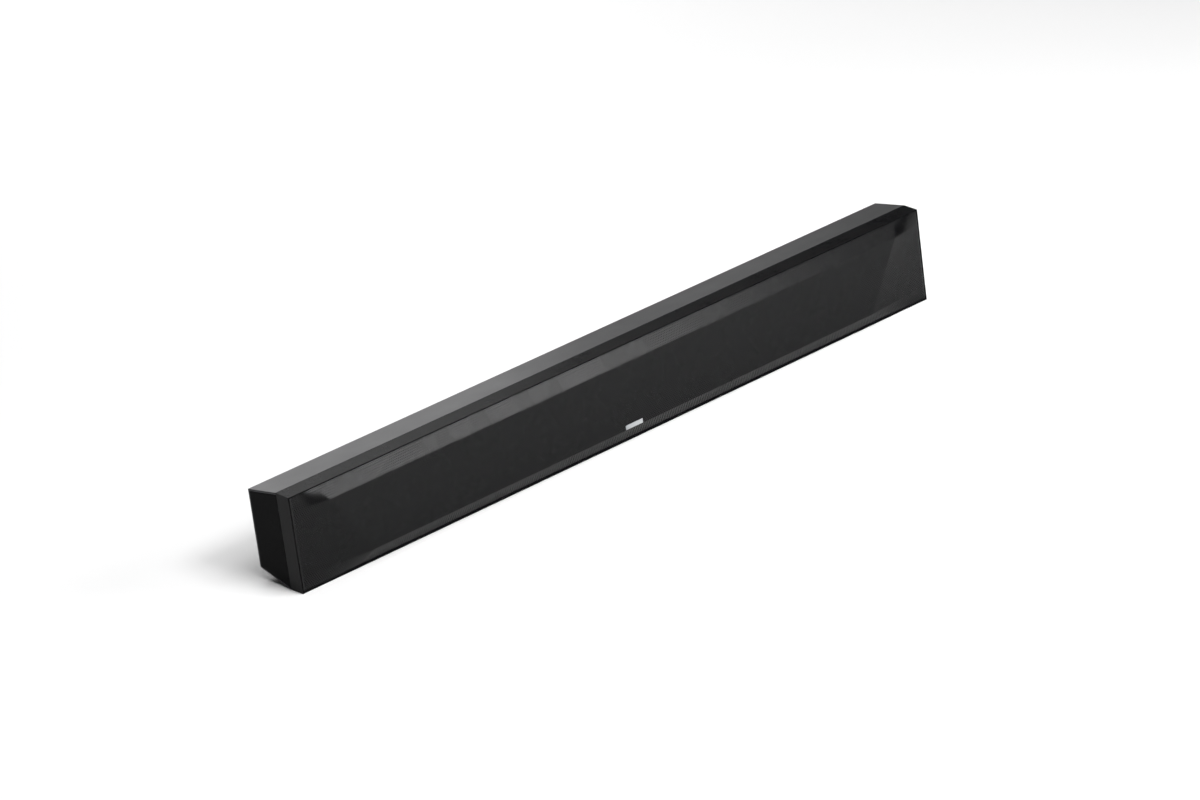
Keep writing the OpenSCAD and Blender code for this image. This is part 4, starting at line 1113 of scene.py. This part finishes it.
class SOUNDBAR_OT_electronics(bpy.types.Operator):
    """Make the circuit boards with their parts, the heat sink, the standoffs and the speaker wires"""
    bl_idname = "soundbar.electronics"
    bl_label = "Electronics"

    def execute(self, context):
        front, back = BOARD_FRONT, BOARD_BACK
        sleeve = worked("PET sleeve, shrunk over a can", "#22252b", "#15171b", 0.4, 0.004, 0.3)
        tape = worked("polyester tape, wound", "#d9b13c", "#b98d22", 0.9, 0.02, 0.35, stretch=(1, 1, 12))
        copper = worked("enamelled copper wire, wound", "#b5642f", "#6f3514", 0.4, 0.01, 0.28, Metallic=1.0)
        dark_sheath = worked("PVC sheath, drawn black", "#202022", "#0e0e10", 0.6, 0.006, 0.42)

        def pins(x0, x1, z0, z1, count):
            """Two rows of flat pins at the sides of a chip."""
            return [board_block(x, x + 1.1, z, z + 0.7, back, back + 0.5, 0.1, 0.08, 2)
                    for x in (x0 - 1.1, x1) for z in np.linspace(z0 + 0.6, z1 - 1.3, count)]

        power = "power_supply"
        fit("power_board", [board_block(-148, -8, 22, 96, front, back, 2, 0.12)], "circuit_board", power)
        cans = ((-132, 78, 9, 18), (-132, 54, 9, 18), (-40, 80, 5, 12), (-26, 80, 5, 12))
        fit("power_capacitors", [capacitor(*can) for can in cans], "socket_metal", power, sleeve)
        # Two legs and two yokes, with the winding between them.
        core = ((-100, -92, 40, 74), (-70, -62, 40, 74), (-91.99, -70.01, 40, 46), (-91.99, -70.01, 68, 74))
        fit("transformer_core", [board_block(*bar, back, 7, 0.4) for bar in core], "magnet_steel", power)
        fit("transformer_winding", [board_block(-91.8, -70.2, 46.2, 67.8, back, 6.6, 3, 1.2, 8)],
            "circuit_board", power, tape)
        fit("power_filter_blocks", [board_block(-130, -110, 28, 40, back, 3, 1),
                                    board_block(-46, -20, 30, 38, back, 4, 1)], "socket_black", power)
        amplifier = "amplifier_board"
        fit("amplifier_panel", [board_block(8, 148, 22, 96, front, back, 2, 0.12)], "circuit_board",
            amplifier)
        chips = ((40, 54, 46, 64), (76, 90, 46, 64), (114, 134, 60, 80))
        fit("amplifier_chips", [board_block(*chip, back + 0.1, back + 2, 0.3, 0.15) for chip in chips]
            + [board_block(24, 66, 88, 96, front - 2.4, front, 0.4)], "socket_black", amplifier)
        fit("chip_pins", [pin for chip in chips for pin in pins(*chip, 14)], "socket_metal", amplifier)
        fit("output_chokes", [choke(x, 30) for x in (20, 34, 48, 62, 76, 90)], "socket_black", amplifier,
            copper)
        eased("connector_board", 0.1, "socket_board")
        eased("heat_sink", 0.2, "finned_heat_sink")
        eased("board_standoffs", 0.3, "turned_standoffs")
        # From the board's upper edge each pair runs outward above the drivers, with a drop at each one.
        board_top, high, woofer_top, tweeter_top, lay = 96, 99, 93, 75.6, 11
        for name, start, woofers, far in (("left", 30, (-212, -320), -408), ("right", 60, (212, 320), 408)):
            runs = [[(start, front, board_top), (start, front, high), (far, front, high),
                     (far, front, tweeter_top)]]
            runs += [[(x, front, high), (x, front, woofer_top)] for x in woofers]
            for phase, sheath, finish in ((0, "red", None), (math.pi, "black", dark_sheath)):
                wires = [tube(twisted_pair(run, 0.75, lay, phase), 0.74 * MM) for run in runs]
                fit(f"{name}_{sheath}_wires", wires, "wire_sheath", "speaker_wiring", finish)
        return {"FINISHED"}


class SOUNDBAR_OT_inner_parts(bpy.types.Operator):
    """Make the baffle, its gasket, the dividers, the grille's carrier and the two windows"""
    bl_idname = "soundbar.inner_parts"
    bl_label = "Inner parts"

    def execute(self, context):
        for node, width, name in (
                ("baffle", 0.3, "cut_baffle"), ("baffle_gasket", 0.3, "foam_gasket"),
                ("left_divider", 0.3, "left_chamber_wall"), ("right_divider", 0.3, "right_chamber_wall"),
                ("grille_carrier", 0.25, "carrier_ring"), ("light_guide", 0.15, "status_light_guide"),
                ("infrared_window", 0.2, "infrared_lens")):
            eased(node, width, name)
        return {"FINISHED"}


class SOUNDBAR_OT_wadding(bpy.types.Operator):
    """Make the two pads of damping fibre behind the drivers"""
    bl_idname = "soundbar.wadding"
    bl_label = "Damping wadding"

    def execute(self, context):
        for side, name in ((-1, "left"), (1, "right")):
            low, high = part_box(f"{name}_wadding")
            points, faces = fibre_pad(low, high, side)
            mesh = closed_mesh(f"{name}_fibre_pad", points, faces, poles=True)
            pad = place_piece(f"{name}_fibre_pad", mesh, "wadding_fibre", "root", (f"{name}_wadding",), 180)
        return {"FINISHED"}


class SOUNDBAR_PT_panel(bpy.types.Panel):
    """Lists the pieces that the add-on makes and the values that they take"""
    bl_label = "Soundbar"
    bl_idname = "SOUNDBAR_PT_panel"
    bl_space_type = "VIEW_3D"
    bl_region_type = "UI"
    bl_category = "Soundbar"

    def draw(self, context):
        for group in SETTINGS:
            for name in SETTINGS[group].__annotations__:
                self.layout.prop(getattr(context.scene, group), name)
        for operator in OPERATORS:
            self.layout.operator(operator.bl_idname)


FINISHES = {}
SETTINGS = {"soundbar_look": SoundbarLook, "soundbar_grille": SoundbarGrille,
            "soundbar_stage": SoundbarStage}
OPERATORS = (SOUNDBAR_OT_stage, SOUNDBAR_OT_finishes, SOUNDBAR_OT_housing, SOUNDBAR_OT_front_frame,
             SOUNDBAR_OT_grille, SOUNDBAR_OT_badge, SOUNDBAR_OT_rear_panel, SOUNDBAR_OT_woofers,
             SOUNDBAR_OT_tweeters, SOUNDBAR_OT_screws, SOUNDBAR_OT_electronics, SOUNDBAR_OT_inner_parts,
             SOUNDBAR_OT_wadding)


def register():
    """Registers the settings, the operators and the panel."""
    for group in SETTINGS.values():
        bpy.utils.register_class(group)
    for operator in OPERATORS:
        bpy.utils.register_class(operator)
    bpy.utils.register_class(SOUNDBAR_PT_panel)
    for name, group in SETTINGS.items():
        setattr(bpy.types.Scene, name, bpy.props.PointerProperty(type=group))


def unregister():
    """Removes what register added, in the opposite order."""
    for name in SETTINGS:
        delattr(bpy.types.Scene, name)
    bpy.utils.unregister_class(SOUNDBAR_PT_panel)
    for operator in reversed(OPERATORS):
        bpy.utils.unregister_class(operator)
    for group in SETTINGS.values():
        bpy.utils.unregister_class(group)


def main():
    """Builds everything in order."""
    register()
    for operator in OPERATORS:
        group, name = operator.bl_idname.split(".")
        getattr(getattr(bpy.ops, group), name)()


if __name__ == "__main__":
    main()
